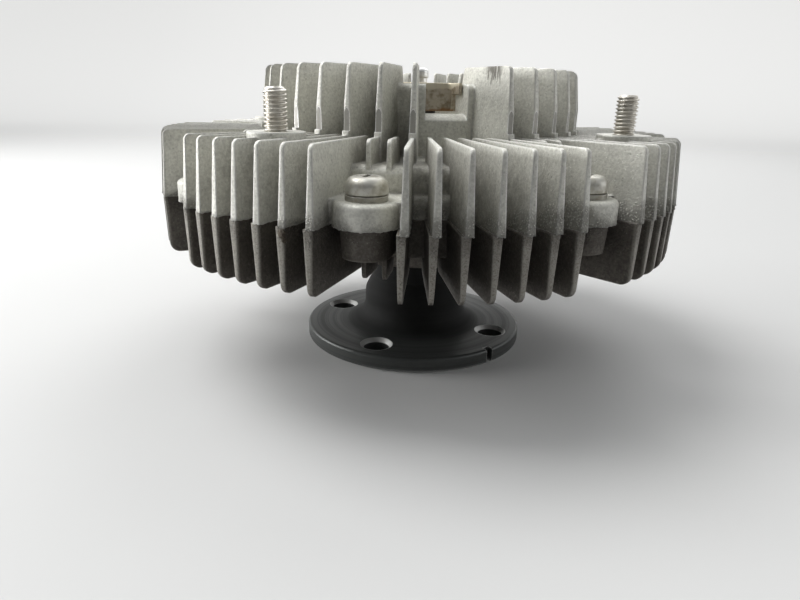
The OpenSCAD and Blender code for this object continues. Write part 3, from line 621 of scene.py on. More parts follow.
@dataclass(frozen=True)
class FrontCastFinish(CastFinish):
    """Front casting: cast skin, machined fan seat on the inner fins and dark streaks on one of them."""

    seat_r: float = 51.35 * MM
    seat_low: float = 74.6 * MM
    seat_high: float = 80.7 * MM
    seat_arch: float = 1.7 * MM
    fin_step: float = 10.0
    seat_soft: float = 0.05 * MM
    smudge_deg: float = HOUSING_TURN + 30.0
    smudge_from: float = 38.5 * MM
    smudge_to: float = 47.5 * MM
    smudge_fade: float = 2.5 * MM
    smudge_low: float = 83.5 * MM
    smudge_high: float = 92.0 * MM
    streak_waves: float = 1500.0
    streak_draw: float = 0.14

    def smudged(self, wire: Wiring, dirt_shade_mask: Socket) -> Socket:
        """Mask of dirt and painted shade, with dark dirt streaks down one inner fin: a window of angle, radius and
        height over drawn-out noise.

        Args:
            wire: wiring of the material.
            dirt_shade_mask: mask of dirt and painted shade so far.

        Returns:
            The mask with the streaks.
        """
        radius, angle, height = wire.polar()
        turn = wire.ease(wire.math("ABSOLUTE", wire.minus(angle, self.smudge_deg)), 3.2, 2.6)
        inside = wire.ease(radius, self.smudge_from, self.smudge_from + self.smudge_fade)
        span = wire.times(inside, wire.ease(radius, self.smudge_to, self.smudge_to - self.smudge_fade))
        flow = wire.add("ShaderNodeCombineXYZ", {0: radius, 1: wire.times(height, self.streak_draw)}).outputs[0]
        upper = wire.ease(height, self.smudge_low, self.smudge_high, -0.25, 0.2)
        streak = wire.plus(wire.noise(flow, self.streak_waves, 3.0), upper)
        mask = wire.times(wire.times(turn, span), wire.ease(streak, 0.52, 0.66, 0.0, 0.8))
        return wire.most(dirt_shade_mask, mask)

    def seat_mask(self, wire: Wiring) -> tuple[Socket, Socket]:
        """Machined tongue on each inner fin's outer edge: radius past the seat, height between a foot and an arch.

        Args:
            wire: wiring of the material.

        Returns:
            The mask of the tongue, and the mask of the bright burr along its outline.
        """
        radius, angle, height = wire.polar()
        local = wire.folded(angle, HOUSING_TURN, self.fin_step)
        arch = wire.minus(self.seat_high, wire.times(wire.times(local, local), self.seat_arch))
        depth = wire.minus(arch, height)
        above = wire.ease(height, self.seat_low - self.seat_soft, self.seat_low + self.seat_soft)
        outside = wire.times(above, wire.ease(radius, self.seat_r - 0.08 * MM, self.seat_r))
        mask = wire.times(wire.ease(depth, -self.seat_soft, 2 * self.seat_soft), outside)
        sides = wire.ease(wire.math("ABSOLUTE", local), 0.7, 0.85)
        burr = wire.most(wire.ease(depth, 0.5 * MM, 0.2 * MM), sides)
        return mask, wire.times(mask, burr)


@dataclass(frozen=True)
class TurnedFinish(Finish):
    """Turned metal with lathe rings, a rim painted lighter as wear and highlight, darker corners and, inside the hub
    shade radius, painted shade.
    """

    light: Colour = (0.3, 0.3, 0.3)
    edge: Colour = (0.6, 0.6, 0.58)
    # Dark colour for darker corners and the hub's painted shade.
    dirt: Colour = (0.02, 0.019, 0.018)
    lines: float = 3600.0
    edge_r: float = 0.5 * MM
    edge_share: float = 0.8
    corner_share: float = 0.5
    corner_reach: float = 6 * MM
    dirt_rough: float = 0.35
    relief: float = 0.04 * MM
    # Radius inside which the hub is painted darker as shade, with its fade and share.
    hub_shade_r: float = 0.0
    hub_shade_fade: float = 7 * MM
    hub_shade_share: float = 0.92
    bare: Colour = (0.6, 0.6, 0.58)

    def material(self) -> Material:
        """Lathe rings with edges painted lighter as wear and highlight, darker corners, and painted shade inside the
        hub shade radius.

        Returns:
            The material.
        """
        material, wire, shader = self.start()
        edges = self.effect(wire, EFFECTS.edges, Radius=self.edge_r)
        marks = self.effect(wire, EFFECTS.turning, Lines=self.lines)
        corner_darkening = self.effect(wire, EFFECTS.corner_darkening, Reach=self.corner_reach, Amount=self.corner_share)
        colour = wire.tint(marks["Tone"], rgba(self.base), rgba(self.light))
        # Edges painted lighter, partly wear and partly a painted highlight, as on the flange's rim.
        colour = wire.tint(wire.times(edges["Edge"], self.edge_share), colour, rgba(self.edge))
        dirt_shade_mask = corner_darkening["Mask"]
        # Inside this radius the hub is painted darker as shade.
        if self.hub_shade_r:
            radius, _, _ = wire.polar()
            dirt_shade_mask = wire.most(dirt_shade_mask, wire.ease(radius, self.hub_shade_r + self.hub_shade_fade, self.hub_shade_r, 0.0, self.hub_shade_share))
        colour = wire.tint(dirt_shade_mask, colour, rgba(self.dirt))
        bright = self.bright_mask(wire)
        if bright is not None:
            colour = wire.tint(bright, colour, rgba(self.bare))
        clear = wire.minus(1.0, dirt_shade_mask)
        gloss = wire.ease(marks["Tone"], 0.0, 1.0, 0.07, -0.05)
        rough = wire.plus(wire.times(gloss, clear), self.roughness)
        rough = wire.plus(rough, wire.times(dirt_shade_mask, self.dirt_rough))
        wire.fill(shader, {"Base Color": colour, "Roughness": rough})
        relief = wire.times(marks["Height"], clear)
        self.bump(wire, shader, relief, self.relief, edges["Normal"], 0.4)
        return material

    def bright_mask(self, wire: Wiring) -> Socket | None:
        """Returns the mask of bare bright places, or None where there are none."""
        return None


@dataclass(frozen=True)
class FlangeFinish(TurnedFinish):
    """Drive flange: turned steel with bare countersinks at the bolt holes."""

    hole_ring: float = 30.0 * MM
    hole_turn: float = -23.5
    hole_step: float = 90.0
    sink_r: float = 5.4 * MM
    sink_low: float = 3.6 * MM
    sink_high: float = 3.9 * MM

    def bright_mask(self, wire: Wiring) -> Socket:
        """Countersinks: distance to the nearest bolt hole's axis, with the angle folded onto one hole.

        Args:
            wire: wiring of the material.

        Returns:
            The mask.
        """
        radius, angle, height = wire.polar()
        fold = wire.math("RADIANS", wire.folded(angle, self.hole_turn, self.hole_step))
        x = wire.minus(wire.times(radius, wire.math("COSINE", fold)), self.hole_ring)
        y = wire.times(radius, wire.math("SINE", fold))
        upper = wire.ease(height, self.sink_low, self.sink_high)
        return wire.times(wire.ease(wire.distance(x, y), self.sink_r + 0.2 * MM, self.sink_r), upper)


@dataclass(frozen=True)
class PlatedFinish(Finish):
    """Zinc plating or bare sheet with stains, fine grain and worn edges."""

    stain: Colour = (0.4, 0.38, 0.33)
    edge: Colour = (0.75, 0.74, 0.71)
    dirt: Colour = (0.06, 0.052, 0.042)
    grain: float = 2600.0
    edge_r: float = 0.4 * MM
    edge_share: float = 0.6
    corner_share: float = 0.5
    corner_reach: float = 2 * MM
    relief: float = 0.05 * MM

    def material(self) -> Material:
        """Stained film with bands, worn edges and darker corners.

        Returns:
            The material.
        """
        material, wire, shader = self.start()
        edges = self.effect(wire, EFFECTS.edges, Radius=self.edge_r)
        film = self.effect(wire, EFFECTS.plating, Scale=self.grain)
        corner_darkening = self.effect(wire, EFFECTS.corner_darkening, Reach=self.corner_reach, Amount=self.corner_share)
        colour = self.banded(wire, wire.tint(film["Stain"], rgba(self.base), rgba(self.stain)))
        colour = wire.tint(wire.times(edges["Edge"], self.edge_share), colour, rgba(self.edge))
        colour = wire.tint(corner_darkening["Mask"], colour, rgba(self.dirt))
        rough = wire.ease(film["Stain"], 0.0, 1.0, self.roughness - 0.04, self.roughness + 0.12)
        wire.fill(shader, {"Base Color": colour, "Roughness": rough})
        self.bump(wire, shader, film["Height"], self.relief, edges["Normal"], 0.5)
        return material

    def banded(self, wire: Wiring, colour: Socket) -> Socket:
        """Returns the colour with this finish's own bands, here none."""
        return colour


@dataclass(frozen=True)
class StripFinish(PlatedFinish):
    """Bimetal strip: a pale band painted along the top as a highlight, and rust along the lower edge."""

    # Pale: band painted along the top as a highlight. Rust: real rust along the lower edge.
    pale: Colour = (0.62, 0.57, 0.45)
    rust: Colour = (0.24, 0.11, 0.035)
    highlight_z: float = 85.6 * MM
    rust_z: float = 80.4 * MM
    wave: float = 0.9 * MM
    waves: float = 90.0

    def banded(self, wire: Wiring, colour: Socket) -> Socket:
        """Colour bands by height, with a border that waves with noise.

        Args:
            wire: wiring of the material.
            colour: colour so far.

        Returns:
            The banded colour.
        """
        _, _, height = wire.polar()
        sway = wire.ease(wire.noise(wire.here(), self.waves), 0.3, 0.7, -self.wave, self.wave)
        wavy = wire.plus(height, sway)
        # Pale band along the top of the strip: a painted highlight.
        colour = wire.tint(wire.ease(wavy, self.highlight_z, self.highlight_z + 0.5 * MM), colour, rgba(self.pale))
        return wire.tint(wire.ease(wavy, self.rust_z, self.rust_z - 0.8 * MM, 0.0, 0.85), colour, rgba(self.rust))


@dataclass(frozen=True)
class RubberFinish(Finish):
    """Black rubber with a dusty grain."""

    dust: Colour = (0.09, 0.085, 0.08)
    grain: float = 1800.0
    relief: float = 0.06 * MM

    def material(self) -> Material:
        """Dark base under patches of dust.

        Returns:
            The material.
        """
        material, wire, shader = self.start()
        film = self.effect(wire, EFFECTS.plating, Scale=self.grain)
        colour = wire.tint(film["Stain"], rgba(self.base), rgba(self.dust))
        rough = wire.ease(film["Stain"], 0.0, 1.0, self.roughness, self.roughness + 0.15)
        wire.fill(shader, {"Base Color": colour, "Roughness": rough})
        self.bump(wire, shader, film["Height"], self.relief, None, 0.5)
        return material


@dataclass(frozen=True)
class GritFinish(Finish):
    """Caked road dirt."""

    light: Colour = (0.2, 0.17, 0.13)
    pit: Colour = (0.02, 0.018, 0.015)
    grain: float = 2600.0
    pit_share: float = 0.8
    relief: float = 0.3 * MM

    def material(self) -> Material:
        """Lumpy earth with dark pits.

        Returns:
            The material.
        """
        material, wire, shader = self.start()
        cast = self.effect(wire, EFFECTS.cast_skin, Scale=self.grain, Pit_Share=self.pit_share)
        colour = wire.tint(cast["Tone"], rgba(self.base), rgba(self.light))
        wire.fill(shader, {"Base Color": wire.tint(cast["Pits"], colour, rgba(self.pit))})
        self.bump(wire, shader, cast["Height"], self.relief, None, 0.8)
        return material


def dress(frame: dict, material: Material, *nodes: str) -> None:
    """Gives CAD nodes a material.

    Args:
        frame: the loaded frame.
        material: the finish.
        nodes: names of the CAD nodes.
    """
    for node in nodes:
        for place_in in frame["nodes"][node].material_slots:
            place_in.material = material
        LOG.info("node %s: %s", node, material.name)


@dataclass
class Castings:
    """The two finned castings with the flash at their parting plane and the dirt that sticks to them."""

    fins: int = 7
    sectors: int = 8
    fin_tip: float = 83.5 * MM
    fin_half: float = 1.0 * MM
    fin_bend: float = 0.3 * MM
    flash_start: float = 65.5 * MM
    lug_ring: float = 73.0 * MM
    lug_r: float = 8.2 * MM
    lug_offset: float = -7.5
    front: CastFinish = FrontCastFinish(
        "front_casting_skin", (0.57, 0.563, 0.51), 0.28, 0.52, light=(0.8, 0.795, 0.725), pit=(0.22, 0.205, 0.18),
        edge=(0.86, 0.85, 0.82), dirt=(0.12, 0.107, 0.088), pit_share=0.3,
    )
    # Same aluminium as the front casting, painted much darker as a shaded copy: painted shade. Its wider edge mask and
    # nose mask paint the fin noses lighter as a highlight.
    shaded_rear: CastFinish = CastFinish(
        "rear_casting_painted_shade", (0.1, 0.089, 0.076), 0.3, 0.58, light=(0.19, 0.172, 0.148), edge=(0.42, 0.4, 0.355),
        corner_share=0.65, edge_r=0.9 * MM, edge_share=0.5, grit_reach=9 * MM, grit_share=0.3, speck_share=0.9,
        nose_r=82.9 * MM,
    )
    grit: GritFinish = GritFinish("road_dirt", (0.07, 0.058, 0.045), 0.0, 0.9)

    def flash_path(self) -> tuple[np.ndarray, np.ndarray]:
        """Outline of one fin at the parting plane, from one side round the tip to the other side.

        The sides run at y = -half and +half, the tip at x = tip, and quarter circles join them.

        Returns:
            Points and outward normals of shape (n, 2).
        """
        bend = self.fin_bend
        side = np.linspace(self.flash_start, self.fin_tip - bend, 56)
        turn = np.radians(np.linspace(-90, 0, 6))[1:-1]
        tip = np.linspace(-self.fin_half + bend, self.fin_half - bend, 12)
        corner = np.stack([self.fin_tip - bend + bend * np.cos(turn), -self.fin_half + bend + bend * np.sin(turn)], -1)
        lower = np.vstack([np.stack([side, np.full_like(side, -self.fin_half)], -1), corner])
        lower_out = np.vstack([np.tile([0.0, -1.0], (len(side), 1)), np.stack([np.cos(turn), np.sin(turn)], -1)])
        middle = np.stack([np.full_like(tip, self.fin_tip), tip], -1)
        flip = np.array([1.0, -1.0])
        points = np.vstack([lower, middle, lower[::-1] * flip])
        return points, np.vstack([lower_out, np.tile([1.0, 0.0], (len(tip), 1)), lower_out[::-1] * flip])

    def lug_path(self) -> tuple[np.ndarray, np.ndarray]:
        """Outer arc of one lug about its screw: centre plus radius times (cos, sin).

        Returns:
            Points and outward normals of shape (n, 2).
        """
        a = np.radians(np.linspace(-112, 112, 90))
        out = np.stack([np.cos(a), np.sin(a)], -1)
        return out * self.lug_r + np.array([self.lug_ring, 0.0]), out

    @staticmethod
    def flash_strip(points: np.ndarray, out: np.ndarray, seed: int) -> Surface:
        """Ragged lip along a path: a four-point section whose width and drop are sums of sines along the path.

        Args:
            points: path points of shape (n, 2).
            out: outward normals of shape (n, 2).
            seed: number that shifts the sines.

        Returns:
            The closed strip.
        """
        s = np.linspace(0.0, 1.0, len(points))
        wave = np.sin(s * 41 + seed * 2.1) + 0.7 * np.sin(s * 97 + seed * 5.3) + 0.5 * np.sin(s * 173 + seed * 1.7)
        grow = np.clip(np.minimum(s, 1 - s) / 0.06, 0.0, 1.0)
        width = (np.clip(0.1 + 0.055 * wave, 0.02, 0.3) * grow + 0.004) * MM
        drop = (np.clip(0.14 + 0.09 * np.roll(wave, 7), 0.03, 0.4) * grow + 0.02) * MM
        inner, outer = points - out * 0.25 * MM, points + out * width[:, None]
        flat = np.stack([inner, outer, outer, inner], axis=1)
        top = np.full_like(s, PARTING_Z + 0.05 * MM)
        heights = np.stack([PARTING_Z - drop * 0.6, PARTING_Z - drop, top - 0.03 * MM, top + 0.05 * MM], axis=1)
        return skin(np.concatenate([flat, heights[..., None]], axis=-1))

    def flash(self) -> Surface:
        """Flash strips of all full fins and lugs, each with its own seed.

        Returns:
            The strips as one surface.
        """
        fin, lug = self.flash_path(), self.lug_path()
        strips = []
        for k in range(self.sectors):
            for j in range(self.fins):
                strip = self.flash_strip(*fin, k * self.fins + j)
                strips.append(Surface(turned(strip.verts, HOUSING_TURN + k * SECTOR + j * FIN_PITCH), strip.faces))
            strip = self.flash_strip(*lug, 100 + k)
            strips.append(Surface(turned(strip.verts, HOUSING_TURN + self.lug_offset + k * SECTOR), strip.faces))
        return Surface.joined(strips)

    @staticmethod
    def lump(centre: np.ndarray, sizes: tuple[float, float, float], seed: int) -> Surface:
        """Knobbly lump: a sphere's latitude and longitude grid whose radius is one plus a sum of sines.

        Args:
            centre: middle of the lump.
            sizes: half sizes along x, y and z.
            seed: number that shifts the sines.

        Returns:
            The closed lump.
        """
        lat = np.radians(np.linspace(-84, 84, 15))[:, None]
        lon = np.radians(np.linspace(0, 360, 22, endpoint=False))[None, :]
        bumps = np.sin(3 * lon + seed) * np.cos(2 * lat) + 0.8 * np.sin(5 * lon + 4 * lat + 2 * seed)
        r = 1 + 0.16 * bumps * np.cos(lat)
        flat, high = r * np.cos(lat), r * np.sin(lat)
        grid = np.stack([flat * np.cos(lon), flat * np.sin(lon), high], -1)
        return skin(grid * np.array(sizes) + centre)

    def lumps(self) -> Surface:
        """Dirt lumps, each as (turn from the first fin, radius, height, half sizes) in degrees and millimetres.

        Returns:
            The lumps as one surface.
        """
        spots = [
            (-20.0, 83.4, 52.9, (0.5, 1.0, 1.1)),
            (-20.0, 82.9, 51.4, (0.45, 0.8, 0.9)),
            (-19.5, 82.0, 54.2, (0.8, 0.4, 0.5)),
            (31.2, 79.0, 55.6, (0.7, 0.4, 0.6)),
            (31.3, 76.5, 56.5, (0.5, 0.35, 0.5)),
            (95.9, 80.2, 52.1, (0.6, 0.4, 0.6)),
            (160.8, 81.5, 55.4, (0.6, 0.4, 0.5)),
        ]
        parts = []
        for number, (turn, radius, height, sizes) in enumerate(spots):
            lump = self.lump(np.array([radius, 0.0, height]) * MM, tuple(v * MM for v in sizes), number)
            parts.append(Surface(turned(lump.verts, HOUSING_TURN + turn), lump.faces))
        return Surface.joined(parts)

    def build(self, frame: dict) -> None:
        """Dresses both castings and adds flash and dirt.

        Args:
            frame: the loaded frame.
        """
        front = self.front.material()
        dress(frame, front, "front_cover")
        dress(frame, self.shaded_rear.material(), "rear_body")
        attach(place("parting_flash", self.flash(), front, 50), Body.HOUSING.value)
        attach(place("fin_dirt", self.lumps(), self.grit.material(), 60), Body.HOUSING.value)


@dataclass
class FanStuds:
    """Threaded studs that stand for the plain CAD studs."""

    radius: float = 3.0 * MM
    thread_pitch: float = 1.0 * MM
    thread_depth: float = 0.56 * MM
    ring: float = 67.8 * MM
    first_deg: float = HOUSING_TURN - 30.0
    foot_z: float = 71.0 * MM
    top_z: float = 85.2 * MM
    chamfer: float = 0.9 * MM
    count: int = 4
    finish: PlatedFinish = PlatedFinish(
        "stud_zinc_bright", (0.72, 0.695, 0.64), 0.85, 0.36, stain=(0.58, 0.54, 0.47), edge_r=0.1 * MM
    )

    def thread(self) -> Surface:
        """One stud as a grid of angle and height.

        The thread's phase is height over pitch less the share of a turn. The radius follows a clipped triangle wave of
        that phase and stays under a cone at the top.

        Returns:
            The closed stud, standing on the axis.
        """
        z = np.linspace(self.foot_z, self.top_z, 200)[:, None]
        a = np.linspace(0, 2 * np.pi, 48, endpoint=False)[None, :]
        phase = z / self.thread_pitch - a / (2 * np.pi)
        crest = np.clip((np.abs(2 * (phase % 1.0) - 1) - 0.16) / 0.66, 0.0, 1.0)
        r = self.radius - self.thread_depth * (1 - crest)
        r = np.minimum(r, self.radius - self.chamfer + (self.top_z - z) * 1.1)
        return skin(np.stack([r * np.cos(a), r * np.sin(a), z + 0 * a], -1))

    def build(self, frame: dict) -> None:
        """Builds the studs in place of the CAD node.

        Args:
            frame: the loaded frame.
        """
        one = self.thread()
        moved = one.verts + np.array([self.ring, 0.0, 0.0])
        turns = [self.first_deg + k * 360.0 / self.count for k in range(self.count)]
        studs = Surface.joined([Surface(turned(moved, turn), one.faces) for turn in turns])
        material = self.finish.material()
        dress(frame, material, "fan_studs")
        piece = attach(place("threaded_studs", studs, material, 70), Body.HOUSING.value)
        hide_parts("fan_studs")


@dataclass
class BimetalStrip:
    """The bimetal strip, wound from the valve shaft out to its tab at the window."""

    turn: float = HOUSING_TURN + 24.25
    inner_r: float = 5.0 * MM
    pitch: float = 3.1 * MM
    turns: int = 6
    half: float = 0.5 * MM
    low_z: float = 79.5 * MM
    high_z: float = 87.5 * MM
    tab_low_z: float = 84.3 * MM
    tab_r: float = 30.53 * MM
    tang: float = 1.9 * MM
    bend: float = 1.2 * MM
    corner: float = 0.18 * MM
    tab_length: float = 5.0 * MM
    tab_rise: float = 0.6 * MM
    finish: StripFinish = StripFinish(
        "bimetal_stained", (0.5, 0.445, 0.355), 0.75, 0.46, stain=(0.26, 0.215, 0.15), edge=(0.62, 0.56, 0.43),
        edge_r=0.25 * MM,
    )

    def path(self) -> np.ndarray:
        """Middle line: tang, bend, half turns whose radius grows by half a pitch about two centres, bend, tab.

        Returns:
            Points of shape (n, 2) from the shaft outwards.
        """
        first = math.asin(self.bend / self.inner_r)
        a = np.linspace(first, 2 * np.pi * self.turns - 0.08, 640)
        k = np.floor(a / np.pi)
        radius = self.inner_r + k * self.pitch / 2
        coil = np.stack([(k % 2) * self.pitch / 2 + radius * np.cos(a), radius * np.sin(a)], -1)
        q = np.linspace(-np.pi / 2, 0, 9)[:-1]
        inner_x = math.sqrt(self.inner_r**2 - self.bend**2) - self.bend
        into = np.stack([inner_x + self.bend * np.cos(q), self.bend + self.bend * np.sin(q)], -1)
        straight = np.stack([np.linspace(-self.tang, inner_x, 12)[:-1], np.zeros(11)], -1)
        end = coil[-1]
        bend = -end[1]
        w = np.linspace(np.pi, np.pi / 2, 9)[1:]
        out = np.stack([end[0] + bend + bend * np.cos(w), end[1] + bend * np.sin(w)], -1)
        tab = np.stack([np.linspace(out[-1, 0], self.tab_r, 14)[1:], np.zeros(13)], -1)
        return np.vstack([straight, into, coil, out, tab])

    def strip(self) -> tuple[Surface, np.ndarray]:
        """An eight-point section with broken corners carried along the middle line; the lower edge rises at the tab.

        Returns:
            The closed strip, and for each vertex how far it turns with the valve: one at the shaft, falling with the
            strip's length to zero at the tab.
        """
        line = self.path()
        along = np.gradient(line, axis=0)
        along /= np.linalg.norm(along, axis=1, keepdims=True)
        across = np.stack([along[:, 1], -along[:, 0]], -1)
        length = np.concatenate([[0.0], np.cumsum(np.linalg.norm(np.diff(line, axis=0), axis=1))])
        share = length / length[-1]
        rise = np.clip((length - length[-1] + self.tab_length) / self.tab_rise, 0.0, 1.0)
        low = self.low_z + (self.tab_low_z - self.low_z) * rise * rise * (3 - 2 * rise)
        cut, half = self.corner, self.half
        sides = np.array([-half, -half + cut, half - cut, half, half, half - cut, -half + cut, -half])
        flat = line[:, None, :] + across[:, None, :] * sides[None, :, None]
        high = np.full_like(low, self.high_z)
        heights = np.stack([low + cut, low, low, low + cut, high - cut, high, high, high - cut], 1)
        surface = skin(turned(np.concatenate([flat, heights[..., None]], -1), self.turn))
        return surface, np.repeat(np.clip((1 - share) * 1.02 - 0.01, 0.0, 1.0), len(sides))

    def build(self, frame: dict) -> None:
        """Builds the strip in place of the CAD node.

        Args:
            frame: the loaded frame.
        """
        surface, share = self.strip()
        material = self.finish.material()
        dress(frame, material, "bimetal_coil")
        piece = place("bimetal_strip", surface, material, 40)
        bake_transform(piece)
        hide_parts("bimetal_coil")


class Dressed:
    """Sub-assembly whose CAD nodes only get finishes."""

    def looks(self) -> dict[Finish, tuple[str, ...]]:
        """Returns the nodes that each finish goes on."""
        raise NotImplementedError

    def build(self, frame: dict) -> None:
        """Dresses the nodes.

        Args:
            frame: the loaded frame.
        """
        for finish, nodes in self.looks().items():
            dress(frame, finish.material(), *nodes)


@dataclass
class DriveShaft(Dressed):
    """Drive flange with its shaft, the rotor and the rotor nut."""

    # The flange's hub is painted darker as shade inside 20.5 mm.
    flange: FlangeFinish = FlangeFinish(
        "flange_turned_steel", (0.07, 0.074, 0.071), 0.5, 0.44, light=(0.092, 0.097, 0.093), edge=(0.5, 0.5, 0.48),
        dirt=(0.006, 0.006, 0.0055), hub_shade_r=20.5 * MM,
    )
    rotor: TurnedFinish = TurnedFinish(
        "rotor_machined_aluminium", (0.5, 0.5, 0.5), 0.9, 0.32, light=(0.62, 0.62, 0.61), lines=5200.0, corner_share=0.15
    )
    nut: PlatedFinish = PlatedFinish("nut_zinc", (0.5, 0.5, 0.49), 0.9, 0.34)

    def looks(self) -> dict[Finish, tuple[str, ...]]:
        """Returns the finishes of the turning shaft's nodes."""
        return {self.flange: ("drive_shaft",), self.rotor: ("rotor",), self.nut: ("rotor_nut",)}


@dataclass
class Bearing(Dressed):
    """Ball bearing between shaft and housing, and the spring clips."""

    race: TurnedFinish = TurnedFinish(
        "bearing_ground_steel", (0.46, 0.47, 0.48), 0.95, 0.22, light=(0.56, 0.57, 0.58), lines=9000.0, corner_share=0.3
    )
    balls: PlatedFinish = PlatedFinish(
        "ball_polished_steel", (0.66, 0.67, 0.69), 1.0, 0.1, stain=(0.56, 0.57, 0.58), corner_share=0.1
    )
    cage: PlatedFinish = PlatedFinish(
        "cage_brass_machined", (0.52, 0.38, 0.17), 0.95, 0.32, stain=(0.38, 0.27, 0.12), edge=(0.72, 0.58, 0.32)
    )
    shield: TurnedFinish = TurnedFinish(
        "shield_sheet_steel", (0.3, 0.3, 0.31), 0.9, 0.36, light=(0.4, 0.4, 0.41), lines=5000.0
    )
    clip: PlatedFinish = PlatedFinish(
        "clip_spring_steel", (0.07, 0.07, 0.074), 0.8, 0.42, stain=(0.1, 0.09, 0.08), edge=(0.3, 0.3, 0.3)
    )

    def looks(self) -> dict[Finish, tuple[str, ...]]:
        """Finishes of the bearing's nodes and of both clips.

        Returns:
            The nodes that each finish goes on.
        """
        return {
            self.race: ("bearing_inner_race", "bearing_outer_race"),
            self.balls: ("bearing_balls",),
            self.cage: ("bearing_cage",),
            self.shield: ("bearing_shields",),
            self.clip: ("bearing_circlip", "valve_shaft_clip"),
        }


@dataclass
class Valve(Dressed):
    """Valve shaft and arm, separator plate, wiper and seals."""

    shaft: TurnedFinish = TurnedFinish(
        "valve_shaft_steel", (0.82, 0.82, 0.8), 0.8, 0.34, light=(0.9, 0.9, 0.88), lines=7000.0, corner_share=0.2
    )
    sheet: PlatedFinish = PlatedFinish("valve_sheet_steel", (0.42, 0.42, 0.42), 0.9, 0.36, stain=(0.34, 0.33, 0.31))
    screws: PlatedFinish = PlatedFinish("plate_screw_zinc", (0.5, 0.5, 0.49), 0.9, 0.3)
    wiper: PlatedFinish = PlatedFinish(
        "wiper_brass_machined", (0.58, 0.44, 0.19), 0.95, 0.3, stain=(0.42, 0.3, 0.13), edge=(0.75, 0.62, 0.35)
    )
    rubber: RubberFinish = RubberFinish("seal_rubber_black", (0.018, 0.018, 0.018), 0.0, 0.55)

    def looks(self) -> dict[Finish, tuple[str, ...]]:
        """Finishes of the valve's nodes and of everything behind the front cover.

        Returns:
            The nodes that each finish goes on.
        """
        return {
            self.shaft: ("valve_shaft",),
            self.sheet: ("valve_arm", "separator_plate"),
            self.screws: ("plate_screws",),
            self.wiper: ("pump_wiper",),
            self.rubber: ("cover_seal_ring", "valve_shaft_seal"),
        }


@dataclass
class CoverScrews(Dressed):
    """Pan head screws and split washers on the lugs."""

    screw: PlatedFinish = PlatedFinish(
        "screw_dull_zinc", (0.56, 0.55, 0.5), 0.7, 0.46, stain=(0.4, 0.375, 0.31), corner_share=0.8
    )
    washer: PlatedFinish = PlatedFinish(
        "washer_dull_zinc", (0.4, 0.39, 0.35), 0.8, 0.42, stain=(0.3, 0.28, 0.23), corner_share=0.8
    )

    def looks(self) -> dict[Finish, tuple[str, ...]]:
        """Returns the finishes of screws and washers."""
        return {self.screw: ("cover_screws",), self.washer: ("spring_washers",)}


@dataclass(frozen=True)
class Lamp:
    """One soft area lamp."""

    name: str
    where: tuple[float, float, float]
    size: float
    power: float
    colour: Colour = (1.0, 1.0, 1.0)


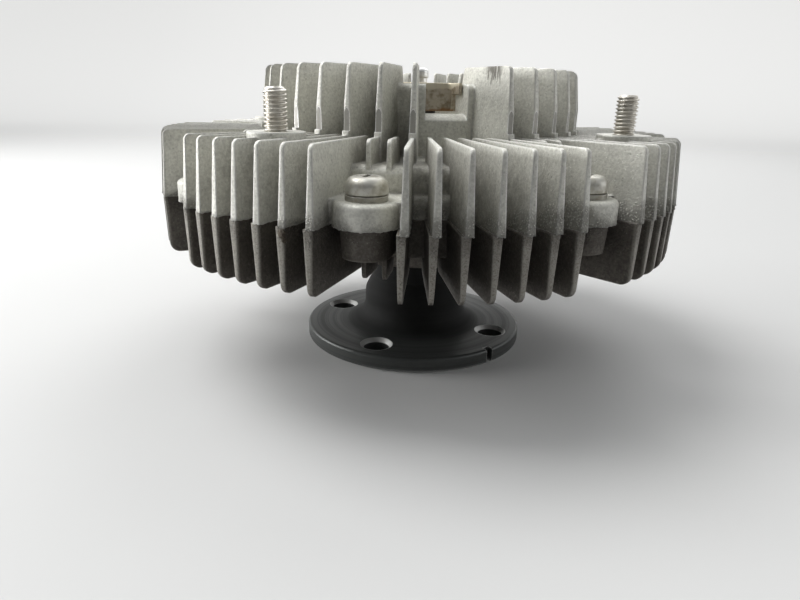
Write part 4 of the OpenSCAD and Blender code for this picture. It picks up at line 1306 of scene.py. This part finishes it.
@dataclass
class Studio:
    """Pale floor that curves up to a backdrop, soft lamps, world and camera."""

    target: tuple[float, float, float] = (0.0, 0.0, 0.05)
    standing_gap: float = 1.5 * MM
    floor_drop: float = 0.1 * MM
    floor_near: float = -1.6
    floor_far: float = 1.3
    floor_half: float = 3.0
    floor_bend: float = 0.5
    wall_high: float = 2.2
    floor_rough: float = 0.9
    glow_start: float = 0.1
    floor_seen: Colour = (0.68, 0.68, 0.67)
    floor_bounce: Colour = (0.1, 0.1, 0.1)
    backdrop_glow: float = 0.92
    sky_front: Colour = (0.16, 0.16, 0.165)
    sky_back: Colour = (0.96, 0.98, 1.0)
    sky_seen: Colour = (0.74, 0.74, 0.73)
    sky_below: Colour = (0.9, 0.9, 0.9)
    world_strength: float = 0.52
    lamps: tuple[Lamp, ...] = (
        Lamp("key", (-0.5, 0.12, 0.9), 0.6, 7.2),
        Lamp("fill", (0.9, -0.05, 0.25), 0.6, 1.4),
        Lamp("back", (0.25, 0.7, 0.8), 0.7, 3.5),
        Lamp("side", (-0.9, 0.06, 0.2), 0.5, 6.6),
    )
    focal_px: float = 603.287
    image_w: float = 800.0
    sensor: float = 36.0
    clip_start: float = 5 * MM
    eye: tuple[float, float, float] = (0.0, -0.2134, 0.08404)
    pitch: float = 18.825
    roll: float = 1.316
    yaw: float = -1.357

    def sweep(self) -> None:
        """Floor and backdrop: a line of floor, quarter circle and wall, carried sideways along X.

        The floor is clear from behind and for the short rays that leave the face it carries, so that views from
        below show the underside.
        """
        bend, far = self.floor_bend, self.floor_far
        a = np.radians(np.linspace(-90, 0, 20))
        curve = np.stack([far + bend * np.cos(a), bend + bend * np.sin(a)], -1)
        profile = np.vstack([[self.floor_near, 0.0], curve, [far + bend, self.wall_high]])
        x = np.array([-self.floor_half, self.floor_half])
        grid = np.stack(np.broadcast_arrays(x[None, :], profile[:, :1], profile[:, 1:] - self.floor_drop), -1)
        faces = [(2 * i, 2 * i + 1, 2 * i + 3, 2 * i + 2) for i in range(len(profile) - 1)]
        mesh = bpy.data.meshes.new("floor_sweep")
        mesh.from_pydata(grid.reshape(-1, 3).tolist(), [], faces)
        mesh.shade_smooth()
        material = bpy.data.materials.new("pale_floor")
        material.use_nodes = True
        shader = material.node_tree.nodes["Principled BSDF"]
        wire = Wiring(material.node_tree)
        rays = wire.add("ShaderNodeLightPath").outputs
        seen = wire.most(rays["Is Camera Ray"], rays["Is Glossy Ray"])
        colour = wire.tint(seen, rgba(self.floor_bounce), rgba(self.floor_seen))
        back = wire.add("ShaderNodeSeparateXYZ", {0: wire.here()}).outputs["Y"]
        far_off = wire.ease(back, self.glow_start, far + bend)
        glow = wire.times(wire.times(seen, far_off), self.backdrop_glow)
        wire.fill(shader, {"Base Color": colour, "Roughness": self.floor_rough})
        wire.fill(shader, {"Emission Color": rgba(self.floor_seen), "Emission Strength": glow})
        under = wire.math("LESS_THAN", rays["Ray Length"], self.standing_gap)
        below = wire.most(wire.add("ShaderNodeNewGeometry").outputs["Backfacing"], under)
        clear = wire.add("ShaderNodeBsdfTransparent").outputs[0]
        both = wire.add("ShaderNodeMixShader", {0: below, 1: shader.outputs[0], 2: clear}).outputs[0]
        wire.fill(material.node_tree.nodes["Material Output"], {"Surface": both})
        mesh.materials.append(material)
        floor = bpy.data.objects.new("floor_sweep", mesh)
        bpy.context.scene.collection.objects.link(floor)

    def light(self) -> None:
        """Adds the lamps, aimed at the clutch, and a pale world."""
        scene = bpy.context.scene
        for lamp in self.lamps:
            data = bpy.data.lights.new(lamp.name, "AREA")
            data.size, data.energy, data.color = lamp.size, lamp.power, lamp.colour
            holder = bpy.data.objects.new(lamp.name, data)
            holder.location = lamp.where
            holder.rotation_euler = (Vector(self.target) - Vector(lamp.where)).to_track_quat("-Z", "Y").to_euler()
            scene.collection.objects.link(holder)
        world = bpy.data.worlds.new("studio_world")
        world.use_nodes = True
        sky = world.node_tree.nodes["Background"]
        wire = Wiring(world.node_tree)
        way = wire.add("ShaderNodeSeparateXYZ", {0: wire.add("ShaderNodeTexCoord").outputs["Generated"]}).outputs
        behind = wire.ease(wire.plus(way["Y"], way["Z"]), -0.9, 0.9)
        dome = wire.tint(behind, rgba(self.sky_front), rgba(self.sky_back))
        colour = wire.tint(wire.ease(way["Z"], 0.0, -0.1), dome, rgba(self.sky_below))
        wire.fill(sky, {"Color": colour, "Strength": self.world_strength})
        pale = wire.add("ShaderNodeBackground", {"Color": rgba(self.sky_seen)}).outputs[0]
        seen = wire.add("ShaderNodeLightPath").outputs["Is Camera Ray"]
        both = wire.add("ShaderNodeMixShader", {0: seen, 1: sky.outputs[0], 2: pale}).outputs[0]
        wire.fill(world.node_tree.nodes["World Output"], {"Surface": both})
        scene.world = world

    def camera(self) -> None:
        """Camera at the photograph's angle: pitch down, yaw about Z, then roll about the view."""
        pitch, roll, yaw = (math.radians(v) for v in (self.pitch, self.roll, self.yaw))
        ahead = Vector((math.sin(yaw) * math.cos(pitch), math.cos(yaw) * math.cos(pitch), -math.sin(pitch)))
        right = ahead.cross(Vector((0, 0, 1))).normalized()
        up = right.cross(ahead)
        right, up = right * math.cos(roll) + up * math.sin(roll), up * math.cos(roll) - right * math.sin(roll)
        data = bpy.data.cameras.new("photo_camera")
        data.sensor_fit = "HORIZONTAL"
        data.sensor_width = self.sensor
        data.lens = self.focal_px * self.sensor / self.image_w
        data.clip_start = self.clip_start
        camera = bpy.data.objects.new("photo_camera", data)
        camera.matrix_world = Matrix.Translation(Vector(self.eye)) @ Matrix((right, up, -ahead)).transposed().to_4x4()
        bpy.context.scene.collection.objects.link(camera)
        bpy.context.scene.camera = camera

    def build(self) -> None:
        """Builds the studio."""
        self.sweep()
        self.light()
        self.camera()
        bpy.context.scene.view_settings.view_transform = "Standard"


def main() -> None:
    """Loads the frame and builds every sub-assembly in order."""
    logging.basicConfig(level=logging.INFO, format="%(name)s: %(message)s")
    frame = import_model()
    for part in (Castings(), FanStuds(), BimetalStrip(), DriveShaft(), Bearing(), Valve(), CoverScrews()):
        part.build(frame)
        LOG.info("built %s", type(part).__name__)
    Studio().build()


if __name__ == "__main__":
    main()
